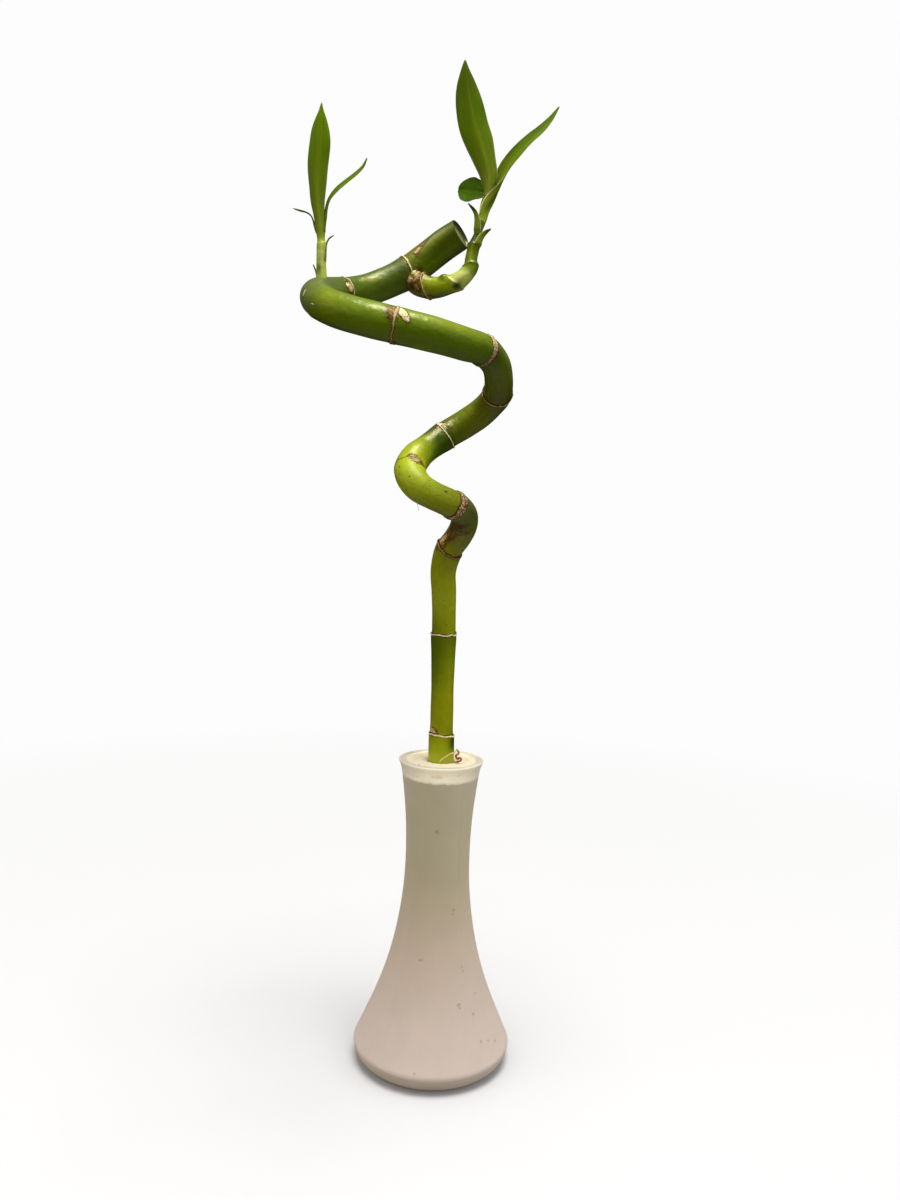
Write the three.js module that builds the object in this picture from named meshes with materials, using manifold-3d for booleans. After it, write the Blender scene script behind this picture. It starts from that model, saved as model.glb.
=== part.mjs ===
// Lucky bamboo: a spiral-trained cane with two leafy shoots, held by a foam plug in a
// frosted glass vase with a narrow neck and a wide bell foot.
// Millimetres, +Z up. The origin is the centre of the vase's foot.

import * as THREE from 'three';
import { mergeVertices } from 'three/addons/utils/BufferGeometryUtils.js';
import Module from 'manifold-3d';

const wasm = await Module();
wasm.setup();

// Driving dimensions
const vaseHeight = 130;
const vaseFootRadius = 24.5;
const vaseHeelRadius = 33.4;
const vaseHeelHeight = 8;
const vaseWall = 3;
const vaseFloor = 5;
const rimOuterRadius = 18;
const rimRounding = 0.6;
const plugTop = 129.4;
const plugBottom = 122.8;
const seatGap = 0.3;
const ringSwelling = 0.4;
const ringHalfWidth = 1.3;
const stalkStep = 6;
const stalkSides = 14;
const vaseSegments = 36;
const leafThickness = 0.45;
const wideLeaf = 6;
const sliverSize = 0.03;

// Outside of the vase's wall above the heel: radius, height
const vaseWallOutline = [
  [33.4, 8], [31.4, 12.5], [28.6, 19], [25.2, 27], [21.9, 36], [19.2, 45], [17.1, 54],
  [15.4, 64], [14.1, 76], [13.7, 89], [14.2, 104], [15.5, 117], [17, 127],
];

// Centreline of the stalk, from its foot in the vase to the sawn top: x, y, z, diameter
const stalkRoute = [
  [2.5, 0, 62, 10.4], [0, 0, 128, 11.2], [-0.3, -0.3, 141, 9.8], [-1, -1.5, 187.5, 9.9],
  [-1.5, -4, 201.5, 10.2], [-2, -6.5, 210.5, 10.6], [0, -10.5, 219, 10.8],
  [3.5, -14.5, 224.5, 10.9], [5.5, -20, 229, 10.7], [5.5, -25, 233, 10.6],
  [3, -30.5, 235.5, 10.6], [-1.5, -35, 237.5, 10.7], [-6.5, -36.5, 239.5, 10.8],
  [-12, -36, 242.5, 11.4], [-15.5, -32, 247, 12], [-16, -27.5, 251, 12.2],
  [-14, -23.5, 255, 11.8], [-11.2, -19.2, 258.2, 11], [-2.5, -12.5, 265.5, 11.2],
  [3.5, -11, 269.5, 11.5], [10, -12, 274, 11.4], [14, -15.5, 277.5, 11.3],
  [16.5, -20.5, 280.6, 11.2], [16.8, -28, 284.4, 11], [15, -36, 289.5, 11],
  [10, -44, 292.8, 11.4], [3, -51.5, 293.2, 11.8], [-7.5, -58, 294.5, 12.3],
  [-21, -61.5, 296.5, 12.5], [-30, -60.5, 298.5, 12.7], [-39.5, -56.5, 301.5, 12.7],
  [-46.8, -50.5, 305.1, 12.5], [-51.8, -42, 309.8, 12.5], [-52.4, -31, 314.2, 12.5],
  [-49.9, -21, 317.2, 12.5], [-42.8, -11.5, 320.3, 12.4], [-34, -4.5, 324.8, 12.4],
  [-21.5, 0, 332.5, 12.8], [-14.5, 0.5, 338, 12.8], [-6.5, -1, 344, 12.6],
  [0, -4, 347.5, 12.2],
];

// Node rings of the stalk: place along the route, counted in its points
const stalkRings = [1.95, 2.9, 6, 10.15, 14.45, 17.8, 22.1, 25.05, 28, 31.45, 34.6, 36.95];

// Shoots: stem routes as x, y, z, diameter
const leftStemRoute = [
  [-51.8, -28.6, 314.5, 3.6], [-52.1, -30.4, 319.8, 3.5], [-52.3, -31.3, 325, 3.1],
  [-52.4, -32, 330, 3], [-52.5, -32, 332.4, 1.6], [-53, -32, 338, 1.5],
];
const rightStemRoute = [
  [-20, -1.5, 331, 8.6], [-17, -3, 327.4, 9.2], [-13, -4.6, 325.7, 9],
  [-9.3, -6, 325.2, 8.5], [-3.6, -8, 326.1, 7.2], [1.1, -9.5, 328.2, 6.7],
  [4, -10, 331.5, 5.6], [4.6, -10, 336.3, 4.9], [5.6, -10, 341.4, 4.5],
  [6.1, -10, 343.4, 3.4], [7, -10, 346.4, 2.4], [8.2, -10, 350.5, 2.2], [9.6, -10, 356.5, 2],
];

// Leaves: stations along the midrib as x, y, z, width over the curve, wrap in degrees.
// inward is the way that the leaf's inner side faces, at even steps from its base to its tip.
const leaves = {
  left_leaf_main: {
    stations: [
      [-52.3, -33.5, 332, 8.2, 320], [-52.6, -33.6, 335.4, 8.2, 290], [-53.1, -33.9, 339.4, 7, 230],
      [-53.7, -34.2, 344.2, 6.5, 170], [-54.1, -34.6, 349.5, 6.7, 110], [-54.3, -35, 355.9, 7.7, 80],
      [-54, -35.4, 363.7, 8.4, 60], [-53.6, -35.8, 368.6, 8.2, 50], [-53.4, -36.1, 372.4, 7, 45],
      [-53.2, -36.5, 376.5, 4.3, 40], [-53.1, -36.7, 379.3, 1.9, 30], [-53, -36.8, 381.8, 0.5, 20],
    ],
    inward: [[0, 1, 0], [0.15, 1, 0.1]],
  },
  left_leaf_narrow: {
    stations: [
      [-51, -32, 337, 3.2, 120], [-50.9, -32, 341.4, 3, 110], [-50.6, -32, 345.6, 2.6, 90],
      [-49.6, -32.2, 349.1, 2.3, 80], [-47, -32.6, 352.4, 2.2, 70], [-43.7, -33, 355.2, 2.1, 70],
      [-40, -33.3, 358.2, 1.7, 60], [-37.4, -33.5, 360.9, 1.1, 50], [-36, -33.6, 364, 0.5, 30],
    ],
    inward: [[-1, 0, 0], [-0.3, -0.75, 0.6]],
  },
  left_leaf_dry: {
    stations: [
      [-54.9, -32, 336.5, 2.4, 100], [-55.6, -32, 340.6, 1.8, 100], [-56.6, -32, 342.8, 1.1, 60],
      [-58.3, -32, 343.9, 1.1, 50], [-60.6, -32, 344.4, 1.3, 50], [-63.3, -32, 345.2, 0.5, 30],
    ],
    inward: [[1, 0, 0], [0.2, 0, 1]],
  },
  left_bract: {
    stations: [
      [-50.5, -32, 326.3, 2.8, 100], [-50.6, -32, 330.5, 2.4, 90], [-50.3, -32, 333, 1.5, 70],
      [-49.4, -32, 334.7, 1.1, 50], [-47.7, -32, 335.9, 0.5, 30],
    ],
    inward: [[-1, 0, 0], [-0.4, 0, 1]],
  },
  left_base_scale: {
    stations: [
      [-53.8, -30.4, 320, 3, 100], [-54.3, -31, 322.6, 2.2, 90], [-55.3, -31.5, 325, 0.6, 40],
    ],
    inward: [[1, 0, 0], [1, 0, 0.5]],
  },
  right_leaf_main: {
    stations: [
      [10.1, -11.2, 359.5, 5.6, 240], [10.5, -11.3, 363.3, 6.6, 190], [10.3, -11.4, 367.2, 7.8, 120],
      [9.5, -11.5, 371, 8.8, 90], [8, -11.7, 375.5, 10.2, 75], [5.8, -11.9, 381.1, 11.8, 60],
      [3.6, -12.1, 386.7, 12.1, 50], [1.7, -12.3, 393.4, 11.4, 45], [0.6, -12.4, 398.7, 9.8, 42],
      [-0.2, -12.5, 403.2, 7.2, 38], [-0.7, -12.6, 406.9, 4.2, 34], [-0.9, -12.7, 411.4, 0.6, 20],
    ],
    inward: [[0, 1, 0], [0.1, 1, -0.05]],
  },
  right_leaf_narrow: {
    stations: [
      [9.8, -9.8, 350.2, 10.5, 300], [10.8, -9.8, 354.6, 11.4, 290], [12.7, -9.9, 359.2, 11, 250],
      [14.3, -10.1, 363.6, 8.8, 180], [15.8, -10.4, 368.2, 7.4, 120], [18, -10.7, 372.8, 6.8, 90],
      [21.6, -11, 377.8, 6.2, 75], [26.4, -11.3, 382.8, 5.4, 70], [30.1, -11.5, 386.3, 4.2, 60],
      [33.9, -11.6, 390.7, 2.7, 50], [36.9, -11.8, 395.4, 0.6, 30],
    ],
    inward: [[-1, 0.1, 0], [-0.5, -0.85, 0.25], [-0.3, -0.9, 0.3]],
  },
  right_leaf_round: {
    stations: [
      [11, -7.05, 362.2, 3, 20], [9.2, -7, 362.9, 5, 25], [7.2, -6.4, 363.7, 7.4, 30],
      [5.3, -5.2, 364.4, 9.4, 35], [3.5, -3.8, 365, 10.8, 40], [1.6, -2.2, 365.6, 10, 40],
      [0, -0.9, 366, 8, 35], [-1.2, 0.1, 366.3, 5.4, 30], [-2, 0.8, 366.5, 2.8, 30],
    ],
    inward: [[0.3, -0.95, 0], [-0.3, -0.95, 0]],
  },
  right_bract_left: {
    stations: [
      [5.6, -11.6, 345, 5, 140], [5.8, -11.8, 348.6, 4.4, 120], [5.7, -11.7, 351.6, 3.4, 90],
      [4.9, -11.2, 354.2, 2.2, 70], [2.4, -10.6, 357.4, 0.5, 40],
    ],
    inward: [[0.75, 0.65, 0], [0.7, 0.5, 0.5]],
  },
  right_bract_right: {
    stations: [
      [7.6, -11.7, 340.2, 5.2, 115], [8.2, -11.5, 343.2, 4, 105], [9.6, -11.1, 345.6, 2.6, 80],
      [11.9, -10.4, 347.8, 0.6, 40],
    ],
    inward: [[-0.75, 0.65, 0], [-0.6, 0.5, 0.6]],
  },
};

// Roots: x, y, z, diameter
const roots = {
  plug_root_pale: [
    [6.3, -1.5, 132.5, 1], [4.6, -5.3, 131.6, 0.9], [2, -6.4, 130.9, 0.8], [-0.4, -6.5, 130.3, 0.7],
  ],
  plug_root_brown: [
    [6.9, 0.6, 133.2, 0.9], [7.5, -1.2, 131.9, 1], [7.5, -3, 130.9, 0.9], [7.9, -4.6, 130.4, 0.8],
    [7.3, -6.2, 130.2, 0.6],
  ],
  foot_root_1: [[4.6, 0.6, 61.2, 1.5], [6.4, 1.4, 52, 1.4], [8, -1, 40, 1.2], [6.4, -2.4, 27, 0.8]],
  foot_root_2: [[0.6, 2.6, 61.2, 1.4], [-1.6, 5, 50, 1.3], [-4.6, 7, 36, 1.1], [-4, 9, 22, 0.7]],
  foot_root_3: [[0.2, -2.2, 61.2, 1.5], [-2.6, -4, 54, 1.4], [-6.4, -5.6, 44, 1.2], [-7, -8, 31, 0.8]],
  foot_root_4: [[3.2, -3, 61.2, 1.3], [4.4, -6, 51, 1.2], [3, -9, 38, 1], [5, -11, 25, 0.7]],
  foot_root_5: [[2.8, 3, 61.2, 1.3], [4.6, 5.6, 53, 1.2], [4, 9.6, 43, 1], [7, 12, 33, 0.7]],
};

// Finishes
const finishes = {
  glass: { color: 0xd9d3c6, roughness: 0.5, metalness: 0 },
  foam: { color: 0xf4ecd4, roughness: 0.95, metalness: 0 },
  stalk: { color: 0x6b8410, roughness: 0.4, metalness: 0 },
  shoot: { color: 0x75911a, roughness: 0.45, metalness: 0 },
  leaf: { color: 0x4f7008, roughness: 0.45, metalness: 0 },
  paleRoot: { color: 0xcfc088, roughness: 0.7, metalness: 0 },
  brownRoot: { color: 0x8a3d1e, roughness: 0.7, metalness: 0 },
};

const plant = new THREE.Group();

function add(name, geometry, finish) {
  const mesh = new THREE.Mesh(geometry, new THREE.MeshStandardMaterial(finishes[finish]));
  mesh.name = name;
  plant.add(mesh);
}

// Closed solid through a row of closed sections with the same even number of points,
// each running counter-clockwise about the way of travel. The ends are closed by strips
// from side to side, so that an end may be shaped like a C.
function solidFromSections(sections) {
  const count = sections[0].length;
  const positions = [];
  const indices = [];
  for (const section of sections) {
    for (const point of section) {
      positions.push(point.x, point.y, point.z);
    }
  }
  for (let ring = 0; ring + 1 < sections.length; ring += 1) {
    for (let side = 0; side < count; side += 1) {
      const near = ring * count + side;
      const nearNext = ring * count + ((side + 1) % count);
      indices.push(near, nearNext, nearNext + count, near, nearNext + count, near + count);
    }
  }
  const last = (sections.length - 1) * count;
  for (let near = 0; near + 1 < count / 2; near += 1) {
    const far = count - 1 - near;
    indices.push(near, far - 1, near + 1, near, far, far - 1);
    indices.push(last + near, last + near + 1, last + far - 1);
    indices.push(last + near, last + far - 1, last + far);
  }
  const geometry = new THREE.BufferGeometry();
  geometry.setAttribute('position', new THREE.Float32BufferAttribute(positions, 3));
  geometry.setIndex(indices);
  return geometry;
}

// Sections along a curve, at the given shares of its length, with a circle of its own radius each
function roundSections(curve, shares, radiusAt, sides) {
  const sections = [];
  let normal = new THREE.Vector3(1, 0, 0);
  for (const share of shares) {
    const centre = curve.getPointAt(share);
    const tangent = curve.getTangentAt(share);
    normal = normal.clone().addScaledVector(tangent, -normal.dot(tangent)).normalize();
    const side = new THREE.Vector3().crossVectors(tangent, normal);
    const radius = radiusAt(share);
    const section = [];
    for (let k = 0; k < sides; k += 1) {
      const angle = (2 * Math.PI * k) / sides;
      const point = centre.clone();
      point.addScaledVector(normal, radius * Math.cos(angle));
      point.addScaledVector(side, radius * Math.sin(angle));
      section.push(point);
    }
    sections.push(section);
  }
  return sections;
}

function curveThrough(route) {
  return new THREE.CatmullRomCurve3(route.map(([x, y, z]) => new THREE.Vector3(x, y, z)));
}

// Value in a column of a route at a share of the curve's length
function columnAt(curve, route, column, share) {
  const place = curve.getUtoTmapping(share) * (route.length - 1);
  const index = Math.min(Math.floor(place), route.length - 2);
  return THREE.MathUtils.lerp(route[index][column], route[index + 1][column], place - index);
}

// Share of the curve's length at a place counted in the route's points
function shareAt(curve, route, place) {
  const lengths = curve.getLengths();
  const position = (place / (route.length - 1)) * (lengths.length - 1);
  const index = Math.min(Math.floor(position), lengths.length - 2);
  const length = THREE.MathUtils.lerp(lengths[index], lengths[index + 1], position - index);
  return length / lengths[lengths.length - 1];
}

// Round stem along a route; grow widens it all round
function stemGeometry(route, step, sides, grow = 0) {
  const curve = curveThrough(route);
  const steps = Math.ceil(curve.getLength() / step);
  const shares = [];
  for (let k = 0; k <= steps; k += 1) {
    shares.push(k / steps);
  }
  const radiusAt = (share) => columnAt(curve, route, 3, share) / 2 + grow;
  return solidFromSections(roundSections(curve, shares, radiusAt, sides));
}

// The stalk, with a low swelling at each node ring
function stalkGeometry(grow = 0) {
  const curve = curveThrough(stalkRoute);
  curve.arcDivisions = 2000;
  const length = curve.getLength();
  const rings = stalkRings.map((place) => shareAt(curve, stalkRoute, place) * length);
  const marks = [];
  const steps = Math.ceil(length / stalkStep);
  for (let k = 0; k <= steps; k += 1) {
    const mark = (k / steps) * length;
    if (rings.every((ring) => Math.abs(ring - mark) > 2 * ringHalfWidth)) {
      marks.push(mark);
    }
  }
  for (const ring of rings) {
    marks.push(ring - ringHalfWidth, ring, ring + ringHalfWidth);
  }
  marks.sort((a, b) => a - b);
  const radiusAt = (share) => {
    const away = Math.min(...rings.map((ring) => Math.abs(ring - share * length)));
    const swelling = ringSwelling * Math.max(0, 1 - away / ringHalfWidth);
    return columnAt(curve, stalkRoute, 3, share) / 2 + swelling + grow;
  };
  const shares = marks.map((mark) => mark / length);
  return solidFromSections(roundSections(curve, shares, radiusAt, stalkSides));
}

// A leaf: a thin strip along its midrib, bowed across, from a base that wraps the stem to a
// point; grow widens it all round
function leafGeometry({ stations, inward }, grow = 0) {
  const curve = curveThrough(stations);
  const across = Math.max(...stations.map((station) => station[3])) > wideLeaf ? 3 : 2;
  const steps = (stations.length - 1) * 2;
  const facings = inward.map((way) => new THREE.Vector3(...way).normalize());
  const sections = [];
  for (let k = 0; k <= steps; k += 1) {
    const share = shareAt(curve, stations, k / 2);
    const midrib = curve.getPointAt(share);
    const tangent = curve.getTangentAt(share);
    if (k === 0) {
      midrib.addScaledVector(tangent, -grow);
    } else if (k === steps) {
      midrib.addScaledVector(tangent, grow);
    }
    const place = (k / steps) * (facings.length - 1);
    const near = Math.min(Math.floor(place), facings.length - 2);
    const facing = facings[near].clone().lerp(facings[near + 1], place - near);
    facing.addScaledVector(tangent, -facing.dot(tangent)).normalize();
    const side = new THREE.Vector3().crossVectors(tangent, facing);
    const width = columnAt(curve, stations, 3, share) + 2 * grow;
    const wrap = THREE.MathUtils.degToRad(columnAt(curve, stations, 4, share));
    const radius = width / wrap;
    const thickness = Math.min(leafThickness, width / 2) + 2 * grow;
    const hub = midrib.clone().addScaledVector(facing, radius);
    const edge = (angle, offset) => {
      const point = hub.clone();
      point.addScaledVector(facing, -(radius + offset) * Math.cos(angle));
      point.addScaledVector(side, (radius + offset) * Math.sin(angle));
      return point;
    };
    const section = [];
    for (let m = across; m >= -across; m -= 1) {
      section.push(edge((wrap / 2) * (m / across), thickness / 2));
    }
    for (let m = -across; m <= across; m += 1) {
      section.push(edge((wrap / 2) * (m / across), -thickness / 2));
    }
    sections.push(section);
  }
  return solidFromSections(sections);
}

function toManifold(geometry) {
  const bare = geometry.clone();
  bare.deleteAttribute('normal');
  bare.deleteAttribute('uv');
  const merged = mergeVertices(bare, 1e-4);
  return new wasm.Manifold(new wasm.Mesh({
    numProp: 3,
    vertProperties: new Float32Array(merged.attributes.position.array),
    triVerts: new Uint32Array(merged.index.array),
  }));
}

function toGeometry(solid) {
  const mesh = solid.getMesh();
  const geometry = new THREE.BufferGeometry();
  geometry.setAttribute('position', new THREE.BufferAttribute(mesh.vertProperties, 3));
  geometry.setIndex(new THREE.BufferAttribute(mesh.triVerts, 1));
  return geometry;
}

// The largest of the pieces that a solid falls into
function largestPiece(solid) {
  const pieces = solid.decompose();
  pieces.sort((a, b) => b.volume() - a.volume());
  return toGeometry(pieces[0]);
}

// The first solid with the widened neighbours cut away. The second pass drops the slivers
// that appear where the cut's corners are rounded to 32 bits.
function cutClear(geometry, neighbours) {
  let solid = toManifold(geometry);
  let isCut = false;
  for (const neighbour of neighbours) {
    const cutter = toManifold(neighbour);
    if (solid.intersect(cutter).volume() > 0) {
      solid = solid.subtract(cutter);
      isCut = true;
    }
  }
  if (!isCut) {
    return geometry;
  }
  return largestPiece(toManifold(largestPiece(solid.simplify(sliverSize))));
}

// Vase: one closed profile, out along the foot, up the outside, over the rim and down the inside
function vaseGeometry() {
  const wall = new THREE.SplineCurve([
    ...vaseWallOutline.map(([radius, height]) => new THREE.Vector2(radius, height)),
    new THREE.Vector2(rimOuterRadius, vaseHeight - rimRounding),
  ]);
  const wallSteps = 14;
  const heelSteps = 4;
  const profile = [new THREE.Vector2(0, 0), new THREE.Vector2(vaseFootRadius, 0)];
  for (let k = 1; k < heelSteps; k += 1) {
    const angle = (Math.PI / 2) * (k / heelSteps);
    profile.push(new THREE.Vector2(
      vaseFootRadius + (vaseHeelRadius - vaseFootRadius) * Math.sin(angle),
      vaseHeelHeight * (1 - Math.cos(angle)),
    ));
  }
  for (let k = 0; k <= wallSteps; k += 1) {
    profile.push(wall.getPointAt(k / wallSteps));
  }
  profile.push(new THREE.Vector2(rimOuterRadius - rimRounding, vaseHeight));
  profile.push(new THREE.Vector2(rimOuterRadius - vaseWall + rimRounding, vaseHeight));
  for (let k = wallSteps; k >= 0; k -= 1) {
    const share = k / wallSteps;
    const outside = wall.getPointAt(share);
    const tangent = wall.getTangentAt(share);
    const inside = new THREE.Vector2(outside.x - tangent.y * vaseWall, outside.y + tangent.x * vaseWall);
    if (inside.y > vaseFloor + 1 && inside.y < vaseHeight - rimRounding) {
      profile.push(inside);
    }
  }
  profile.push(new THREE.Vector2(vaseHeelRadius - 2 * vaseWall, vaseFloor));
  profile.push(new THREE.Vector2(0, vaseFloor));
  return new THREE.LatheGeometry(profile, vaseSegments).rotateX(Math.PI / 2);
}

// Plug: a disc that follows the taper of the vase's mouth, with a hole for the stalk
function plugGeometry() {
  const mouthRadius = rimOuterRadius - vaseWall;
  const holeRadius = 5.7 + seatGap;
  const profile = [
    new THREE.Vector2(holeRadius, plugBottom),
    new THREE.Vector2(mouthRadius - 2.4, plugBottom),
    new THREE.Vector2(mouthRadius - seatGap - 0.3, plugTop - 0.6),
    new THREE.Vector2(mouthRadius - seatGap - 0.8, plugTop),
    new THREE.Vector2(holeRadius, plugTop),
    new THREE.Vector2(holeRadius, plugBottom),
  ];
  return new THREE.LatheGeometry(profile, vaseSegments).rotateX(Math.PI / 2);
}

add('vase', vaseGeometry(), 'glass');
add('foam_plug', plugGeometry(), 'foam');
add('stalk', stalkGeometry(), 'stalk');

const wideStalk = stalkGeometry(seatGap);

// Shoot stems, cut clear of the stalk that they grow from
add('left_shoot_stem', cutClear(stemGeometry(leftStemRoute, 3, 10), [wideStalk]), 'shoot');
add('right_shoot_stem', cutClear(stemGeometry(rightStemRoute, 3, 12), [wideStalk]), 'shoot');

// Leaves, each cut clear of its stem and of the leaves made before it
const wideStems = {
  left: stemGeometry(leftStemRoute, 3, 10, seatGap),
  right: stemGeometry(rightStemRoute, 3, 12, seatGap),
};
for (const shootSide of ['left', 'right']) {
  const earlier = [wideStalk, wideStems[shootSide]];
  for (const [name, leaf] of Object.entries(leaves)) {
    if (name.startsWith(shootSide)) {
      add(name, cutClear(leafGeometry(leaf), earlier), 'leaf');
      earlier.push(leafGeometry(leaf, seatGap));
    }
  }
}

for (const [name, route] of Object.entries(roots)) {
  const finish = name === 'plug_root_brown' ? 'brownRoot' : 'paleRoot';
  add(name, cutClear(stemGeometry(route, 2.5, 6), [wideStalk]), finish);
}

export default plant;
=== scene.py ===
"""Looks of a lucky bamboo in a frosted bud vase, laid out as an add-on that is run as a script."""

import math

import bmesh
import bpy
import numpy as np
from bpy.props import FloatProperty, FloatVectorProperty, IntProperty, PointerProperty
from mathutils import Matrix, Vector


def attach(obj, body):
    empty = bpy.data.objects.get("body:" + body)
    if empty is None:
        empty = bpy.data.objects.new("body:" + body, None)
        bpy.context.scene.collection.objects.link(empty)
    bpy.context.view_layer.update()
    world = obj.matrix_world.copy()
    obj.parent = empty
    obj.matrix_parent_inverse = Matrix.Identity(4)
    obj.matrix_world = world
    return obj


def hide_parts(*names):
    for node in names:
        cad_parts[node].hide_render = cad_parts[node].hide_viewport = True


bl_info = {
    "name": "Lucky Bamboo",
    "version": (1, 0, 0),
    "blender": (4, 5, 0),
    "location": "View3D > Sidebar > Lucky Bamboo",
    "description": "Builds the cane, shoots, leaves, roots, foam plug and frosted vase, and their stage",
    "category": "Add Mesh",
}

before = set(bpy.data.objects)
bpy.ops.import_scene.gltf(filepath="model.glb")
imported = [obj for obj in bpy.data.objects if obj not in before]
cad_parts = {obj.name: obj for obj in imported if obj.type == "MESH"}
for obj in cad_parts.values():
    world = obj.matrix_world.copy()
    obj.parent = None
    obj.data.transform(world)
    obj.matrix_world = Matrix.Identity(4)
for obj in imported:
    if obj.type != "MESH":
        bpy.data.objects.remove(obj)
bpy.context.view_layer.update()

MM = 0.001
BODY = "root"
TOWARDS_VIEWER = (0, -1, 0)

# Brightness of the backdrop, and a length in mm that keeps others off zero
BACKDROP = 0.98
TINY = 1e-6

# Points of a route's line from one of its rows to the next
ROUTE_STEPS = 60

# Centreline of the cane, from its foot in the vase to the sawn top: x, y, z, diameter, in mm
CANE_ROUTE = [
    (2.5, 0, 62, 10.4), (0, 0, 128, 11.2), (-0.3, -0.3, 141, 9.8), (-1, -1.5, 187.5, 9.9),
    (-1.5, -4, 201.5, 10.2), (-2, -6.5, 210.5, 10.6), (0, -10.5, 219, 10.8),
    (3.5, -14.5, 224.5, 10.9), (5.5, -20, 229, 10.7), (5.5, -25, 233, 10.6),
    (3, -30.5, 235.5, 10.6), (-1.5, -35, 237.5, 10.7), (-6.5, -36.5, 239.5, 10.8),
    (-12, -36, 242.5, 11.4), (-15.5, -32, 247, 12), (-16, -27.5, 251, 12.2),
    (-14, -23.5, 255, 11.8), (-11.2, -19.2, 258.2, 11), (-2.5, -12.5, 265.5, 11.2),
    (3.5, -11, 269.5, 11.5), (10, -12, 274, 11.4), (14, -15.5, 277.5, 11.3),
    (16.5, -20.5, 280.6, 11.2), (16.8, -28, 284.4, 11), (15, -36, 289.5, 11),
    (10, -44, 292.8, 11.4), (3, -51.5, 293.2, 11.8), (-7.5, -58, 294.5, 12.3),
    (-21, -61.5, 296.5, 12.5), (-30, -60.5, 298.5, 12.7), (-39.5, -56.5, 301.5, 12.7),
    (-46.8, -50.5, 305.1, 12.5), (-51.8, -42, 309.8, 12.5), (-52.4, -31, 314.2, 12.5),
    (-49.9, -21, 317.2, 12.5), (-42.8, -11.5, 320.3, 12.4), (-34, -4.5, 324.8, 12.4),
    (-21.5, 0, 332.5, 12.8), (-14.5, 0.5, 338, 12.8), (-6.5, -1, 344, 12.6),
    (0, -4, 347.5, 12.2),
]


def ring(mark, **changes):
    """A node ring of the cane at a mark in mm. Angles run round the cane in degrees from its front."""
    shape = {
        "mark": mark,
        "lean": (0, 0),
        "broad": (0, 40, 0),
        "wave": 0.25,
        "swell": 0.3,
        "reach": 8,
        "ridge": 0.3,
        "half": 0.45,
        "above": 0.5,
        "below": 0.9,
        "cream": 0.8,
        "ribs": 0,
        "seed": int(mark),
    }
    shape.update(changes)
    return shape


# lean: mm, angle. wave: how wavy the ring is, in mm. swell and reach: height and length of the swelling
# below it. ridge: height of its ridge. half: half width of its pale line, or -1 where it has none.
# broad: angle, width in degrees and mm by which the line is wider there. above and below: how wide its
# dark edges are, in mm. cream: how pale it is. ribs: 1 for a band of cells.
CANE_RINGS = [
    ring(78.7, lean=(0.55, 290), swell=0.5, reach=6, wave=0.15, half=0.32, above=0.5, below=0.12, cream=1),
    ring(121.7, swell=0.5, reach=12, ridge=0.4, half=0.32, above=0.5, below=0.28, cream=1),
    ring(159.2, lean=(0.9, 290), swell=0.35, reach=7, half=0.18, above=0.65, below=0.6, cream=0.35, wave=0.3),
    ring(189.8, lean=(0.4, 20), swell=0.25, reach=4, ridge=0.35, half=1.3, above=0.45, below=0.5,
         cream=0.6, ribs=1, wave=0.2),
    ring(215, lean=(2, 60), swell=0.1, reach=4, ridge=0.12, half=0.05, above=0.25, below=0.35, cream=0.4),
    ring(243.2, lean=(2.6, 315), swell=0.35, reach=5, half=0.28, above=0.12, below=0.45, cream=1, wave=0.12),
    ring(273.9, lean=(1.2, 335), reach=6, half=0.22, above=0.9, below=0.2),
    ring(300.6, lean=(0.2, 240), broad=(265, 50, 0.65), swell=0.25, reach=4, half=0.55, above=0.4,
         below=0.7, cream=0.6, ribs=0.75, wave=0.2),
    ring(338.1, broad=(283, 20, 0.3), swell=0.2, reach=5, half=0.18, above=0.32, below=0.28, cream=0.35,
         wave=0.12),
    ring(372.6, swell=0.15, reach=5, ridge=0.05, half=-1, above=0, below=0, cream=0),
    ring(408.9, swell=0.12, reach=4, ridge=0.2, half=0.25, above=0.3, below=0.4, cream=0.7, wave=0.4),
    ring(441.2, lean=(1.1, 300), reach=5, half=0.35, above=0.25, below=0.7, cream=0.95, wave=0.2),
]


def patch(mark, angle, length, width, colour, **changes):
    """A patch of the cane: its middle, its half length and half width in mm, and its colour.

    slant is how far it runs along the cane for each mm round it. soft says how softly a tint ends, as a
    share of its size, and ragged how far a scar's edge frays, in mm. height is its relief in mm.
    """
    shape = {
        "mark": mark,
        "angle": angle,
        "length": length,
        "width": width,
        "colour": colour,
        "slant": 0,
        "soft": 0.8,
        "ragged": 0.45,
        "strength": 1,
        "height": 0,
    }
    shape.update(changes)
    return shape


# Colours of the plant, as linear red, green and blue
OLIVE = (0.27, 0.29, 0.0)
DEEP = (0.035, 0.075, 0.0)
NIGHT = (0.012, 0.035, 0.001)
YELLOW = (0.38, 0.42, 0.02)
PAPER = (0.64, 0.48, 0.23)
CREAM = (0.96, 0.83, 0.5)
TAN = (0.38, 0.19, 0.055)
BROWN = (0.075, 0.02, 0.005)
RUST = (0.36, 0.14, 0.02)

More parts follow.
